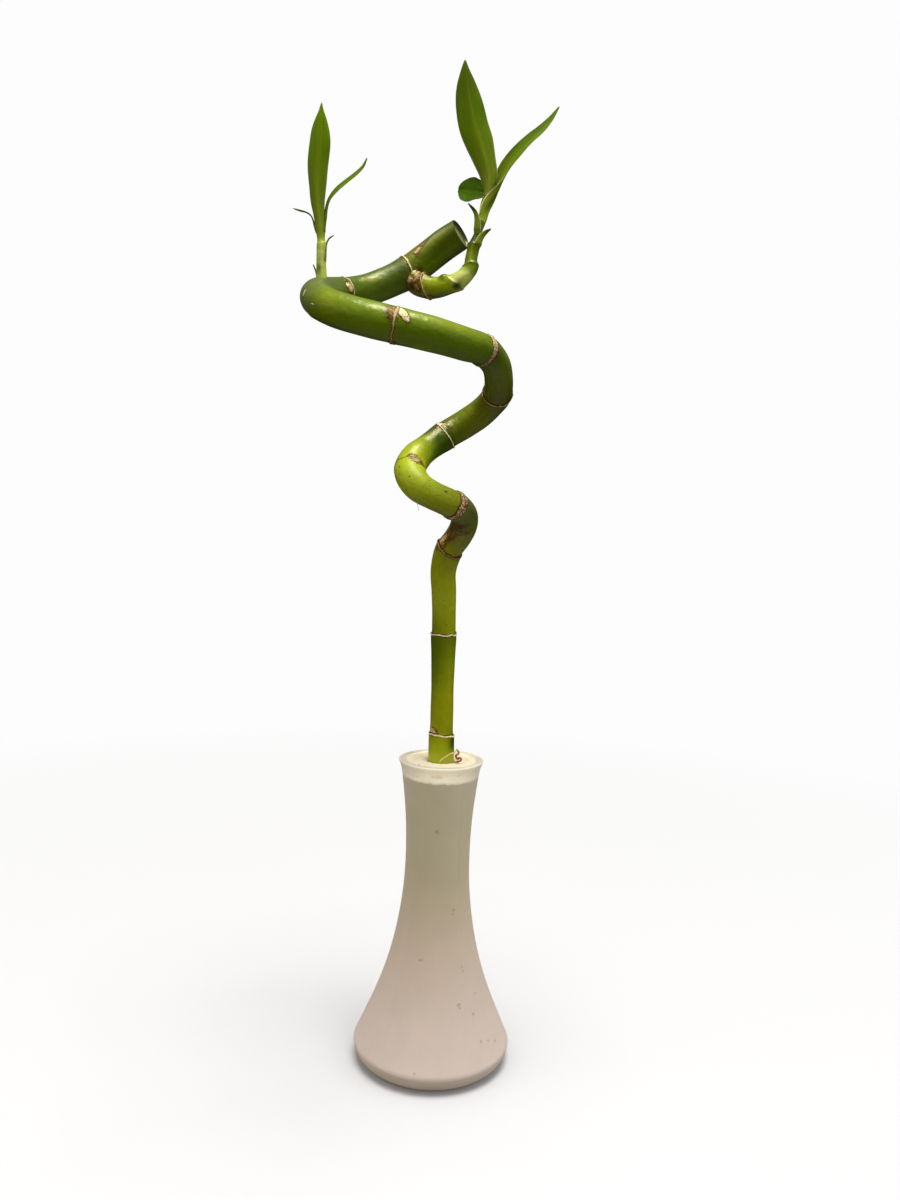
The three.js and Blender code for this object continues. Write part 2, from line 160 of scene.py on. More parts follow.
# Colour of the rind along the cane: mark in mm, colour
CANE_TONES = [
    (0, YELLOW), (60, YELLOW), (75, (0.3, 0.36, 0)), (82, OLIVE), (96, (0.3, 0.34, 0)),
    (108, (0.24, 0.3, 0)), (116, (0.17, 0.23, 0)), (121, (0.14, 0.2, 0)), (122, (0.3, 0.34, 0)),
    (137, (0.38, 0.44, 0.01)), (152, (0.31, 0.35, 0)), (163, (0.24, 0.26, 0)), (172, (0.18, 0.2, 0)),
    (180, (0.18, 0.2, 0)), (187, (0.16, 0.19, 0.006)), (192, (0.24, 0.3, 0)), (198, (0.25, 0.31, 0)),
    (204, (0.34, 0.43, 0.001)), (212, (0.36, 0.46, 0.001)), (222, (0.31, 0.38, 0)),
    (230, (0.2, 0.26, 0)), (237, (0.05, 0.08, 0)), (242.5, (0.045, 0.08, 0)), (244, (0.1, 0.13, 0)),
    (258, (0.15, 0.185, 0)), (268, (0.13, 0.155, 0)), (272, (0.1, 0.12, 0)), (276, (0.085, 0.105, 0.003)),
    (282, (0.12, 0.15, 0.004)), (290, (0.14, 0.195, 0.01)), (299, (0.1, 0.155, 0.004)),
    (304, (0.1, 0.175, 0)), (336, (0.11, 0.19, 0)), (345, (0.13, 0.21, 0)), (366, (0.13, 0.2, 0)),
    (374, (0.13, 0.18, 0.02)), (400, (0.095, 0.145, 0.01)), (409, (0.07, 0.115, 0.004)),
    (412, (0.07, 0.12, 0.001)), (430, (0.06, 0.105, 0)), (438, (0.042, 0.08, 0.001)),
    (441, (0.05, 0.09, 0)), (444, (0.12, 0.17, 0)), (455, (0.075, 0.12, 0)), (468, (0.07, 0.11, 0)),
]

# Soft changes of the rind's colour, a few of them painted highlights and painted shade
CANE_TINTS_AND_PAINTED_LIGHT = [
    patch(113, 300, 15, 4.6, DEEP, strength=0.7, slant=0.25),
    patch(75.8, 66, 3.4, 2.6, NIGHT),
    patch(81.5, 285, 3, 3, YELLOW, strength=0.6),
    patch(171, 345, 2.6, 2.6, RUST, strength=0.2),
    patch(181.5, 15, 5, 4.5, DEEP, strength=0.55),
    patch(184, 90, 6, 4, (0.09, 0.12, 0.03), strength=0.8),
    patch(205, 40, 9, 4, YELLOW, strength=0.35),
    patch(226, 110, 6, 3.6, YELLOW, strength=0.6),
    patch(230, 158, 6, 4, (0.1, 0.16, 0), strength=0.75),
    patch(237, 150, 4.5, 5, DEEP, strength=0.85, slant=-0.4),
    patch(239, 118, 3.5, 3, DEEP, strength=0.6),
    patch(289, 240, 7, 8, DEEP, strength=0.2),
    patch(298, 205, 3, 5, DEEP, strength=0.5),
    patch(319, 292, 13, 2.6, YELLOW, strength=0.35),
    patch(362, 262, 4, 3, YELLOW, strength=0.3),
    patch(384, 300, 10, 9, (0.1, 0.13, 0.05), strength=0.6),
    patch(428, 40, 9, 5, DEEP, strength=0.35),
    # Painted light: a lighter underside of the back tube, standing for light thrown up from below
    patch(425, 75, 18, 3.4, (0.16, 0.22, 0.02), strength=0.6),
    # Painted highlight on the top of the back tube
    patch(421, 350, 5, 1.6, YELLOW, strength=0.25),
    # Painted shade along the back tube's top edge, where no highlight falls
    patch(433, 345, 7, 1.8, DEEP, strength=0.55),
    # Painted highlight along the top of the last internode, the second over a pale papery strip
    patch(457, 342, 8, 1.2, YELLOW, strength=0.3),
    patch(459, 328, 8, 1, (0.42, 0.42, 0.2), strength=0.6),
    patch(441.5, 66, 2.6, 4, (0.3, 0.27, 0.03), strength=0.7),
]

# Papery and corky scars
CANE_SCARS = [
    patch(80.7, 299, 1.4, 2.8, PAPER, slant=-0.25, height=0.15),
    patch(163.8, 294, 3.4, 1.1, PAPER, slant=0.5, height=0.2),
    patch(162.2, 306, 1.2, 1, TAN, height=0.15, ragged=0.7),
    patch(168.6, 306, 3, 0.5, RUST, slant=0.8, height=0.1, ragged=0.7),
    patch(172.4, 326, 2.4, 0.5, RUST, slant=0.9, height=0.1, ragged=0.7),
    patch(174.8, 350, 0.5, 1.7, RUST, slant=0.3, ragged=0.7),
    patch(178.6, 338, 1.4, 1.6, BROWN, ragged=0.9),
    patch(180.6, 354, 0.9, 1.5, BROWN, ragged=0.9),
    patch(159.2, 45, 0.9, 1.2, BROWN),
    patch(217.2, 112, 1.1, 1, (0.5, 0.3, 0.2), height=0.1, ragged=0.9),
    patch(215.4, 130, 1.4, 1.4, PAPER, slant=0.1, height=0.1, ragged=0.9),
    patch(214.6, 144, 0.9, 1.1, BROWN, ragged=0.9),
    patch(242.4, 84, 0.9, 1.3, CREAM, height=0.2),
    patch(241.4, 92, 1.5, 0.5, CREAM, height=0.15),
    patch(243.7, 100, 0.45, 1.4, PAPER, slant=0.3, height=0.15),
    patch(301.4, 292, 0.8, 1.5, CREAM),
    patch(339.6, 278, 0.8, 1.3, TAN, slant=0.3, height=0.2, ragged=0.9),
    patch(336, 279, 1.5, 2.7, CREAM, slant=0.55, height=0.35, ragged=0.2),
    patch(337.4, 165, 1.1, 1.3, BROWN, height=0.3),
    patch(375.2, 246, 0.35, 1.7, CREAM, ragged=0.12),
    patch(367.5, 230, 1.5, 0.24, CREAM, ragged=0.1),
    patch(407.4, 12, 1.5, 1.8, PAPER, height=0.2, ragged=0.7),
    patch(405.8, 4, 0.9, 0.8, CREAM, height=0.15),
    patch(440, 58, 0.9, 1.6, PAPER, height=0.3, ragged=0.8),
    patch(442.2, 72, 0.8, 1.4, PAPER, slant=0.4, height=0.3, ragged=0.8),
    patch(444, 60, 0.7, 1.6, TAN, slant=-0.3, height=0.25, ragged=0.8),
    patch(441.4, 90, 0.8, 1, RUST, height=0.2, ragged=0.8),
    patch(449.3, 330, 1.7, 0.9, PAPER, slant=-1.2, ragged=0.25),
    patch(448.4, 303, 5, 0.4, TAN, ragged=0.2),
    patch(452.4, 332, 1, 2.6, BROWN, slant=-2.6, ragged=0.2),
]

# How dull the rind is, from 0 for shiny to 1 for waxy: its usual value, then mark in mm and value
SATIN = 0.35
CANE_WAX = [(195, SATIN), (200, 1), (211, 1), (217, SATIN), (426, SATIN), (432, 1), (440, 1), (443, SATIN)]

# Small dark specks: mark in mm, angle, radius in mm
CANE_SPECKS = [
    (126.3, 12, 0.3), (135, 6, 0.2), (135.2, 32, 0.22), (196.5, 102, 0.55), (213.5, 55, 0.3),
    (211.5, 42, 0.25), (208, 70, 0.3), (206.5, 24, 0.25), (224.5, 70, 0.25), (229.4, 96, 0.2),
    (352, 276, 0.35), (414.6, 345, 0.2), (417.5, 350, 0.22), (420.6, 352, 0.25), (262, 120, 0.2),
    (311, 275, 0.2), (101, 40, 0.2), (146, 330, 0.2), (91, 10, 0.18),
]

# A distance in mm from a ring or a scar that stands for none near
FAR_AWAY = 99.0

# Sawn top of the cane: its rings of faces as a share of the radius and a sink in mm, then its colours
SAWN_STEPS = [
    (0.97, -0.12), (0.93, 0.15), (0.9, 0.75), (0.8, 1.0), (0.6, 1.25), (0.4, 1.15), (0.2, 1.3),
    (0.05, 1.2),
]
SAWN_WOOD = (0.31, 0.33, 0.13)
SAWN_PALE = (0.5, 0.45, 0.28)
SAWN_RIM = (0.07, 0.05, 0.015)

# Shoot stems: points round them, spacing of their sections in mm, and how far along the cane's pattern
# they start, in mm. Then their routes: x, y, z, diameter
STEM_SIDES = 72
STEM_STEP = 0.25
STEM_PATTERN_START = 600
LEFT_STEM_ROUTE = [
    (-51.8, -28.6, 314.5, 4.3), (-52.1, -30.4, 319.8, 4.1), (-52.3, -31.3, 325, 3.8),
    (-52.3, -31.9, 330, 3.7), (-52.3, -32, 332.6, 3.6), (-52.5, -32, 334, 2.4), (-53, -32, 338, 1.5),
]
RIGHT_STEM_ROUTE = [
    (-20, -1.5, 331, 8.6), (-17, -3, 327.4, 9.2), (-13, -4.6, 325.7, 9),
    (-9.3, -6, 325.2, 8.5), (-3.6, -8, 326.1, 7.2), (1.1, -9.5, 328.2, 6.7),
    (4, -10, 331.5, 5.6), (4.6, -10, 336.3, 4.9), (5.6, -10, 341.4, 4.5),
    (6.1, -10, 343.4, 3.7), (7, -9.9, 346.4, 2.9), (7.8, -9.6, 350.4, 3.9), (8.6, -9.7, 352, 3.2),
    (9.6, -10, 356.5, 2),
]

# Outside of the left shoot's main sheath, in the same form
LEFT_SHEATH_ROUTE = [
    (-52.3, -32, 330, 3.2), (-52.8, -32.1, 337, 3.7), (-53.4, -32.1, 342, 4), (-53.8, -32.3, 346, 4),
]

# What the relief and colours of the cane and of each stem are made from
CANE_LOOK = {
    "tones": CANE_TONES, "tints": CANE_TINTS_AND_PAINTED_LIGHT, "scars": CANE_SCARS, "rings": CANE_RINGS, "wax": CANE_WAX,
}
LEFT_STEM_LOOK = {
    "tones": [
        (0, (0.5, 0.58, 0.04)), (5.5, (0.72, 0.82, 0.14)), (9, (0.54, 0.68, 0.08)),
        (14, (0.5, 0.64, 0.12)), (18, (0.44, 0.57, 0.07)), (30, (0.44, 0.57, 0.07)),
    ],
    "tints": [
        patch(9.6, 335, 1.8, 0.9, DEEP, strength=0.8, height=0.15),
        patch(15.2, 10, 5.5, 0.4, CREAM, slant=-6, strength=0.4),
    ],
    "scars": [],
    "rings": [],
    "wax": [(0, SATIN)],
}
RIGHT_STEM_LOOK = {
    "tones": [
        (0, (0.26, 0.25, 0.02)), (6, (0.26, 0.25, 0.02)), (9, (0.22, 0.23, 0.0)), (12, (0.25, 0.31, 0.0)),
        (18, (0.3, 0.4, 0)), (20.5, (0.32, 0.42, 0)), (22, (0.46, 0.56, 0.1)), (27, (0.58, 0.7, 0.14)),
        (29, (0.32, 0.42, 0.03)), (31, (0.17, 0.24, 0)), (36, (0.14, 0.2, 0)), (39, (0.08, 0.13, 0)),
        (40.2, (0.03, 0.07, 0.004)), (42.4, (0.03, 0.08, 0.01)), (44, (0.14, 0.22, 0.01)),
        (60, (0.14, 0.21, 0.01)),
    ],
    "tints": [
        patch(5.6, 55, 1, 1, NIGHT, strength=0.9, height=-0.3),
        patch(4, 75, 0.8, 1, NIGHT, strength=0.9, height=-0.3),
        patch(7.6, 330, 1.2, 1.2, DEEP, strength=0.6),
        patch(12.6, 335, 2, 1.4, YELLOW, strength=0.5),
        patch(14, 100, 5, 2.2, DEEP, strength=0.8),
        patch(17.8, 330, 1.5, 1.3, DEEP, height=0.8),
        patch(22.6, 62, 1.5, 1.4, NIGHT, soft=0.5),
        patch(24.5, 15, 2, 1, CREAM, strength=0.35),
        patch(27.4, 320, 1.2, 1.2, DEEP, strength=0.6, height=0.4),
        patch(28, 35, 0.8, 0.6, CREAM, strength=0.5),
        patch(30.6, 105, 1.6, 1.3, DEEP, strength=0.6, height=0.5),
        patch(33.4, 70, 1.1, 1.2, DEEP, strength=0.7, height=0.35),
        patch(36, 20, 2.6, 0.5, YELLOW, strength=0.5),
    ],
    "scars": [
        patch(4.2, 338, 0.9, 1.6, PAPER, slant=0.5, height=0.3, ragged=0.8),
        patch(6.2, 6, 0.8, 1.6, TAN, slant=-0.4, height=0.3, ragged=0.8),
        patch(3.8, 24, 0.9, 1, PAPER, height=0.3, ragged=0.8),
        patch(8, 322, 1.8, 0.6, PAPER, height=0.25, ragged=0.8),
        patch(7.4, 40, 0.9, 0.9, TAN, slant=0.5, height=0.25, ragged=0.8),
        patch(5.4, 30, 0.7, 0.9, BROWN, ragged=0.8),
        patch(11.9, 92, 0.9, 1.2, RUST, height=0.15),
    ],
    "rings": [
        ring(9, lean=(2.6, 105), swell=0.35, reach=1.6, half=0.2, above=0.15, below=0.45, cream=0.5,
             wave=0.12),
        ring(21.2, lean=(2.4, 100), swell=0.45, reach=2.4, ridge=0.15, half=-1, above=0, below=0, wave=0.12),
        ring(30.8, lean=(1.2, 60), swell=0.4, reach=2.2, ridge=0.2, half=-1, above=0, below=0, wave=0.12),
        ring(39.8, lean=(0.7, 120), swell=0.3, reach=1.6, ridge=0.1, half=-1, above=0, below=0, wave=0.3),
    ],
    "wax": [(0, SATIN)],
}

# Leaves: stations along the midrib as x, y, z, width over the curve, wrap in degrees.
# inward is the way that the inner side faces, at even steps from the base to the tip.
LEAVES = {
    "left_leaf_main": {
        "stations": [
            (-52.3, -33.5, 332, 8.2, 320), (-52.6, -33.6, 335.4, 8.2, 290),
            (-53.1, -33.9, 339.4, 7, 230), (-53.7, -34.2, 344.2, 6.5, 170),
            (-54.1, -34.6, 349.5, 6.7, 110), (-54.3, -35, 355.9, 7.7, 80),
            (-54, -35.4, 363.7, 8.4, 60), (-53.6, -35.8, 368.6, 8.2, 50),
            (-53.4, -36.1, 372.4, 7, 45), (-53.2, -36.5, 376.5, 4.3, 40),
            (-53.1, -36.7, 379.3, 1.9, 30), (-53, -36.8, 381.8, 0.5, 20),
        ],
        "inward": [(0, 1, 0), (0.15, 1, 0.1)],
    },
    "left_leaf_narrow": {
        "stations": [
            (-51, -32, 337, 3.2, 120), (-50.9, -32, 341.4, 3, 110), (-50.6, -32, 345.6, 2.8, 80),
            (-49.6, -32.2, 349.1, 2.4, 60), (-47, -32.6, 352.4, 2.6, 50),
            (-43.7, -33, 355.2, 2.6, 45), (-40, -33.3, 358.2, 2.1, 40),
            (-37.4, -33.5, 360.9, 1.3, 40), (-36, -33.6, 364, 0.5, 30),
        ],
        "inward": [(-1, 0, 0), (-0.45, -0.8, 0.4), (-0.2, -0.9, 0.4)],
    },
    "left_leaf_dry": {
        "stations": [
            (-54.9, -32, 336.5, 2.4, 100), (-55.6, -32, 340.6, 1.8, 100),
            (-56.6, -32, 342.8, 1.3, 60), (-58.3, -32, 343.9, 1.4, 50),
            (-60.6, -32, 344.4, 1.6, 50), (-63.3, -32, 345.2, 0.5, 30),
        ],
        "inward": [(1, 0, 0), (0.2, 0, 1)],
    },
    "left_bract": {
        "stations": [
            (-50.5, -32, 326.3, 2.8, 100), (-50.6, -32, 330.5, 2.4, 90), (-50.3, -32, 333, 1.5, 70),
            (-49.4, -32, 334.7, 1.1, 50), (-47.7, -32, 335.9, 0.5, 30),
        ],
        "inward": [(-1, 0, 0), (-0.4, 0, 1)],
    },
    "left_base_scale": {
        "stations": [
            (-53.8, -30.4, 320, 3, 100), (-54.3, -31, 322.6, 2.2, 90), (-55.3, -31.5, 325, 0.6, 40),
        ],
        "inward": [(1, 0, 0), (1, 0, 0.5)],
    },
    "right_leaf_main": {
        "stations": [
            (10.1, -11.2, 359.5, 5.6, 240), (10.5, -11.3, 363.3, 6.6, 190),
            (10.3, -11.4, 367.2, 7.8, 120), (9.5, -11.5, 371, 8.8, 90), (8, -11.7, 375.5, 10.2, 75),
            (5.8, -11.9, 381.1, 11.8, 60), (3.6, -12.1, 386.7, 12.1, 50),
            (1.7, -12.3, 393.4, 11.4, 45), (0.6, -12.4, 398.7, 9.8, 42),
            (-0.2, -12.5, 403.2, 7.2, 38), (-0.7, -12.6, 406.9, 4.2, 34),
            (-0.9, -12.7, 411.4, 0.6, 20),
        ],
        "inward": [(0, 1, 0), (0.1, 1, -0.05)],
    },
    "right_leaf_narrow": {
        "stations": [
            (9.8, -9.8, 350.2, 10.5, 300), (10.8, -9.8, 354.6, 11.4, 290),
            (12.7, -9.9, 359.2, 11, 250), (14.3, -10.1, 363.6, 8.8, 180),
            (15.8, -10.4, 368.2, 7.4, 120), (18, -10.7, 372.8, 6.8, 90),
            (21.6, -11, 377.8, 6.2, 75), (26.4, -11.3, 382.8, 5.4, 70),
            (30.1, -11.5, 386.3, 4.2, 60), (33.9, -11.6, 390.7, 2.7, 50),
            (36.9, -11.8, 395.4, 0.6, 30),
        ],
        "inward": [(-1, 0.1, 0), (-0.5, -0.85, 0.25), (-0.3, -0.9, 0.3)],
    },
    "right_leaf_round": {
        "stations": [
            (11.4, -7.9, 361.7, 2.6, 20), (9.2, -7, 362.9, 5, 25), (7.2, -6.4, 363.7, 7.4, 30),
            (5.3, -5.2, 364.4, 9.4, 35), (3.5, -3.8, 365, 10.6, 40), (1.6, -2.2, 365.8, 9.6, 40),
            (0.1, -0.9, 366.4, 7.4, 35), (-1, 0, 366.7, 4.9, 30), (-1.7, 0.6, 366.8, 2.2, 30),
        ],
        "inward": [(0.3, -0.95, 0), (-0.3, -0.95, 0)],
    },
    "right_bract_left": {
        "stations": [
            (5.6, -11.6, 345, 5, 140), (5.8, -11.8, 348.6, 4.4, 120), (5.7, -11.7, 351.6, 3.4, 90),
            (4.9, -11.2, 354.2, 2.2, 70), (2.4, -10.6, 357.4, 0.5, 40),
        ],
        "inward": [(0.75, 0.65, 0), (0.7, 0.5, 0.5)],
    },
    "right_bract_right": {
        "stations": [
            (7.6, -11.7, 340.2, 5.2, 115), (8.2, -11.5, 343.2, 4, 105), (9.6, -11.1, 345.6, 2.6, 80),
            (11.9, -10.4, 347.8, 0.6, 40),
        ],
        "inward": [(-0.75, 0.65, 0), (-0.6, 0.5, 0.6)],
    },
}

# Leaves: points across, mm of the longest, height in mm of the midrib's fold and of the margins' ripple,
# how thin the margins are, how much of its length its base clings to a stem, and how proud of it
LEAF_COLUMNS = 25
LONGEST_LEAF = 55
LEAF_FOLD = 0.25
LEAF_RIPPLE = 0.15
MARGIN_THINNING = 0.93
SEATED_SHARE = 0.16
SEAT_CLEARANCE = 0.03

# Leaves with a sheath: the share of the length where its colour ends
SHEATH_SHARES = {"left_leaf_main": 0.3, "right_leaf_main": 0.22, "right_leaf_narrow": 0.25}

# How light a leaf is along it: share of its length, strength. The lighter base of the narrow right leaf is
# painted light over the shade that the leaves around it throw on it
LEAF_SHADES = {
    "left_leaf_main": [(0, 1.8), (0.12, 1.1), (0.2, 0.84), (0.5, 1.02), (0.85, 1.5), (1, 1.5)],
    "right_leaf_main": [(0, 0.8), (0.3, 0.88), (0.5, 0.98), (0.8, 0.72), (1, 0.72)],
    "right_leaf_narrow": [(0, 1.7), (0.2, 1.3), (0.35, 1), (1, 0.95)],
}

# Leaves whose base lies close against a stem or sheath, and that one's route
LEAF_SEATS = {
    "left_leaf_main": LEFT_STEM_ROUTE,
    "left_leaf_narrow": LEFT_SHEATH_ROUTE,
    "left_leaf_dry": LEFT_SHEATH_ROUTE,
    "left_bract": LEFT_STEM_ROUTE,
    "left_base_scale": LEFT_STEM_ROUTE,
    "right_leaf_narrow": RIGHT_STEM_ROUTE,
    "right_bract_left": RIGHT_STEM_ROUTE,
    "right_bract_right": RIGHT_STEM_ROUTE,
}

# Roots: points round them and spacing of their sections in mm, how far they sway in mm and swell as a
# share of their width, then their routes: x, y, z, diameter
ROOT_SIDES = 14
ROOT_STEP = 0.35
ROOT_SWAY = 0.12
ROOT_SWELLING = 0.12
ROOTS = {
    "plug_root_pale": [
        (6.6, -2.6, 134.6, 0.7), (5.5, -5.1, 134, 0.6), (3.8, -6.2, 133.4, 0.6),
        (1.8, -6.5, 132.4, 0.6), (0.3, -6.5, 131.2, 0.6), (-0.4, -6.5, 129.9, 0.5),
    ],
    "plug_root_brown": [
        (6.6, -1.6, 134.8, 0.5), (7.2, -2.6, 133.4, 0.8), (6.3, -3.8, 132.4, 0.9),
        (6.7, -4.6, 131.4, 1), (8, -4.8, 131.6, 0.8), (8.4, -5, 130.9, 0.7), (7.2, -5.4, 130.2, 0.9),
        (6, -5.8, 129.9, 0.6),
    ],
    "foot_root_1": [
        (4.6, 0.6, 61.2, 1.5), (6.4, 1.4, 52, 1.4), (8, -1, 40, 1.2), (6.4, -2.4, 27, 0.8),
    ],
    "foot_root_2": [
        (0.6, 2.6, 61.2, 1.4), (-1.6, 5, 50, 1.3), (-4.6, 7, 36, 1.1), (-4, 9, 22, 0.7),
    ],
    "foot_root_3": [
        (0.2, -2.2, 61.2, 1.5), (-2.6, -4, 54, 1.4), (-6.4, -5.6, 44, 1.2), (-7, -8, 31, 0.8),
    ],
    "foot_root_4": [
        (3.2, -3, 61.2, 1.3), (4.4, -6, 51, 1.2), (3, -9, 38, 1), (5, -11, 25, 0.7),
    ],
    "foot_root_5": [
        (2.8, 3, 61.2, 1.3), (4.6, 5.6, 53, 1.2), (4, 9.6, 43, 1), (7, 12, 33, 0.7),
    ],
}

# Light and dark colours of the roots and hairs
ROOT_COLOURS = {
    "Pale Root": ((0.72, 0.56, 0.24), (0.5, 0.34, 0.12)),
    "Brown Root": ((0.38, 0.1, 0.03), (0.16, 0.035, 0.015)),
    "Fine Hair": ((0.5, 0.33, 0.3), (0.25, 0.14, 0.12)),
}

# Fine hairs on the foot roots: how many on a square metre, then sizes
ROOT_HAIRS = {"Density": 9e5, "Length": 2.2 * MM, "Thickness": 0.07 * MM, "Seed": 14}

# Fine hairs that hang from the lowest coil: sections along and points round each, then their routes:
# x, y, z, diameter
HAIR_SECTIONS = 14
HAIR_SIDES = 6
CANE_HAIRS = [
    [(-12.6, -40.4, 238.6, 0.22), (-12.4, -41.2, 236.6, 0.18), (-11.7, -41.4, 233.4, 0.14)],
    [(-13.4, -40.2, 239.2, 0.2), (-14.2, -41, 237.9, 0.15), (-14.5, -41.2, 237.2, 0.12)],
]

# Vase: height, foot, heel, wall and rim, then the outside of its wall above the heel
VASE_HEIGHT = 130
VASE_FOOT_RADIUS = 24.5
VASE_HEEL_RADIUS = 33.4
VASE_HEEL_HEIGHT = 8
VASE_WALL = 3
VASE_FLOOR = 5
VASE_RIM_RADIUS = 18
VASE_WALL_OUTLINE = [
    (33.4, 8), (31.4, 12.5), (28.6, 19), (25.2, 27), (21.9, 36), (19.2, 45), (17.1, 54),
    (15.4, 64), (14.1, 76), (13.7, 89), (14.2, 104), (15.5, 117), (17, 127), (18, 129.4),
]

# Colour of the glass up the vase, with the cane behind the neck painted in as a greener shade and the plug
# behind the rim as a paler band: share of its height, colour
SEE_THROUGH_GLASS_TONES = [
    (0.0, (0.7, 0.6, 0.52)), (0.05, (0.68, 0.58, 0.53)), (0.22, (0.64, 0.54, 0.48)),
    (0.38, (0.65, 0.54, 0.45)), (0.52, (0.62, 0.53, 0.4)), (0.62, (0.6, 0.54, 0.38)),
    (0.8, (0.65, 0.6, 0.43)), (0.93, (0.72, 0.66, 0.48)), (0.99, (0.78, 0.73, 0.6)),
    (1.0, (0.6, 0.58, 0.49)),
]

# Glass in front of the plug, where the plug seen through it is painted in: heights in mm where it starts,
# which wander between two, and where it ends, then its painted colour and painted glow, the painted glow of
# its lower line, and that of the vase's outline
BAND_START = (123.3, 124.1)
BAND_END = 129.9
PAINTED_PLUG_BAND = (1.0, 0.95, 0.78)
PLUG_GLOW = (0.33, 0.29, 0.21)
PLUG_LINE_GLOW = (0.42, 0.39, 0.31)
OUTLINE_GLOW = (0.11, 0.09, 0.07)

# Small marks on the front of the vase: x, y, z and radius in mm
GLASS_SPECKS = [
    (-3.1, -16.6, 126.2, 0.8), (-2.2, -16.7, 126.1, 0.9), (-1.2, -16.9, 126.2, 0.9),
    (-0.2, -16.9, 126.2, 0.9), (0.8, -16.9, 126.3, 0.7), (7.2, -15.4, 126.7, 0.7),
    (7.8, -12.7, 69.2, 0.7), (7.4, -12.9, 67.8, 0.5), (-5.6, -17.3, 49.4, 0.6), (-4.8, -17.5, 49.6, 0.5),
    (12, -14.8, 45.9, 0.55), (12.4, -15, 44.4, 0.45), (17.8, -13.7, 34.4, 0.55), (11.2, -20.3, 32.5, 0.8),
    (11.6, -20.6, 31.2, 0.7), (17.4, -18, 27.6, 0.6), (20.9, -20.6, 17.3, 0.8), (24, -17.7, 16.2, 0.6),
    (27, -14.4, 14.4, 0.6), (-6, -32.1, 9.6, 0.6), (-0.5, -14.1, 102.6, 0.7), (0.2, -14.1, 101.6, 0.5),
]

# Plug: a disc of foam that follows the taper of the vase's mouth
PLUG_TOP = 129.4
PLUG_BOTTOM = 122.8
PLUG_HOLE_RADIUS = 5.9
PLUG_TOP_RADIUS = 14.6
PLUG_BOTTOM_RADIUS = 12.6
PLUG_EDGE = 0.6

# Stage, in metres: distance of the lights, the place that they point at, and the floor
LIGHT_DISTANCE = 2.5
PLANT_MIDDLE = (0, 0, 0.22)
FLOOR_RADIUS = 60


# Settings

class PlantSettings(bpy.types.PropertyGroup):
    """Sizes and colours of the cane, the shoots and the leaves."""

    cane_sides: IntProperty(
        name="Cane sides", description="Points round the cane", default=92, min=12, max=128)
    ring_step: FloatProperty(
        name="Step at rings", description="Spacing of the sections near a node ring",
        default=0.34 * MM, subtype="DISTANCE", unit="LENGTH")
    cane_step: FloatProperty(
        name="Step between rings", description="Spacing of the sections away from the rings",
        default=0.65 * MM, subtype="DISTANCE", unit="LENGTH")
    leaf_thickness: FloatProperty(
        name="Leaf thickness", description="Thickness of a blade at its midrib",
        default=0.45 * MM, subtype="DISTANCE", unit="LENGTH")
    leaf_rows: IntProperty(
        name="Leaf rows", description="Sections along the longest leaf", default=130, min=8, max=300)
    leaf_colour: FloatVectorProperty(
        name="Leaf", description="Colour of the open blades", default=(0.105, 0.19, 0.0),
        subtype="COLOR", size=3, min=0, max=1)
    sheath_colour: FloatVectorProperty(
        name="Sheath", description="Colour of the leaf bases and shoot stems",
        default=(0.24, 0.31, 0.03), subtype="COLOR", size=3, min=0, max=1)


class VaseSettings(bpy.types.PropertyGroup):
    """Sizes and finish of the vase and its plug."""

    segments: IntProperty(
        name="Segments", description="Steps round the vase", default=144, min=24, max=256)
    frost: FloatProperty(
        name="Frost", description="Roughness of the frosted glass", default=0.55, min=0, max=1,
        subtype="FACTOR")
    clearness: FloatProperty(
        name="Clearness", description="Share of light that passes through the glass",
        default=0.18, min=0, max=1, subtype="FACTOR")
    foam_colour: FloatVectorProperty(
        name="Foam", description="Colour of the plug", default=(0.76, 0.69, 0.54), subtype="COLOR",
        size=3, min=0, max=1)


class StageSettings(bpy.types.PropertyGroup):
    """Camera, lights and floor."""

    camera_place: FloatVectorProperty(
        name="Camera", description="Place of the camera", default=(0.0012, -0.38, 0.2221),
        subtype="TRANSLATION", unit="LENGTH", size=3)
    camera_pitch: FloatProperty(
        name="Pitch", description="How far the camera looks down", default=math.radians(3.65),
        subtype="ANGLE", unit="ROTATION")
    camera_roll: FloatProperty(
        name="Roll", description="Turn of the camera about its own axis",
        default=math.radians(2.17), subtype="ANGLE", unit="ROTATION")
    lens: FloatProperty(
        name="Lens", description="Focal length on a 36 mm frame", default=27.06, unit="CAMERA")
    sky: FloatProperty(
        name="Sky light", description="Strength of the light from the upper half", default=0.5, min=0)
    ground: FloatProperty(
        name="Ground light", description="Strength of the light from below", default=0.035, min=0)
    key: FloatProperty(
        name="Key light", description="Strength of the soft light from above", default=4.25, min=0)
    left_fill: FloatProperty(
        name="Left fill", description="Strength of the warm light from the left", default=1.3, min=0)
    right_fill: FloatProperty(
        name="Right fill", description="Strength of the light from the right", default=1.5, min=0)


# Routes

def smooth_points(rows, places):
    """Points of a smooth curve through rows of numbers, at places counted in rows."""
    rows = np.asarray(rows, float)
    padded = np.vstack([2 * rows[0] - rows[1], rows, 2 * rows[-1] - rows[-2]])
    index = np.minimum(places.astype(int), len(rows) - 2)
    weight = (places - index)[:, None]
    a, b, c, d = (padded[index + k] for k in range(4))
    before, middle, after = (
        np.maximum(np.linalg.norm((q - p)[:, :3], axis=1), TINY)[:, None] ** 0.5
        for p, q in ((a, b), (b, c), (c, d))
    )
    leave = ((b - a) / before - (c - a) / (before + middle) + (c - b) / middle) * middle
    arrive = ((c - b) / middle - (d - b) / (middle + after) + (d - c) / after) * middle
    cubic = 2 * b - 2 * c + leave + arrive
    square = 3 * c - 3 * b - 2 * leave - arrive
    return b + leave * weight + square * weight**2 + cubic * weight**3


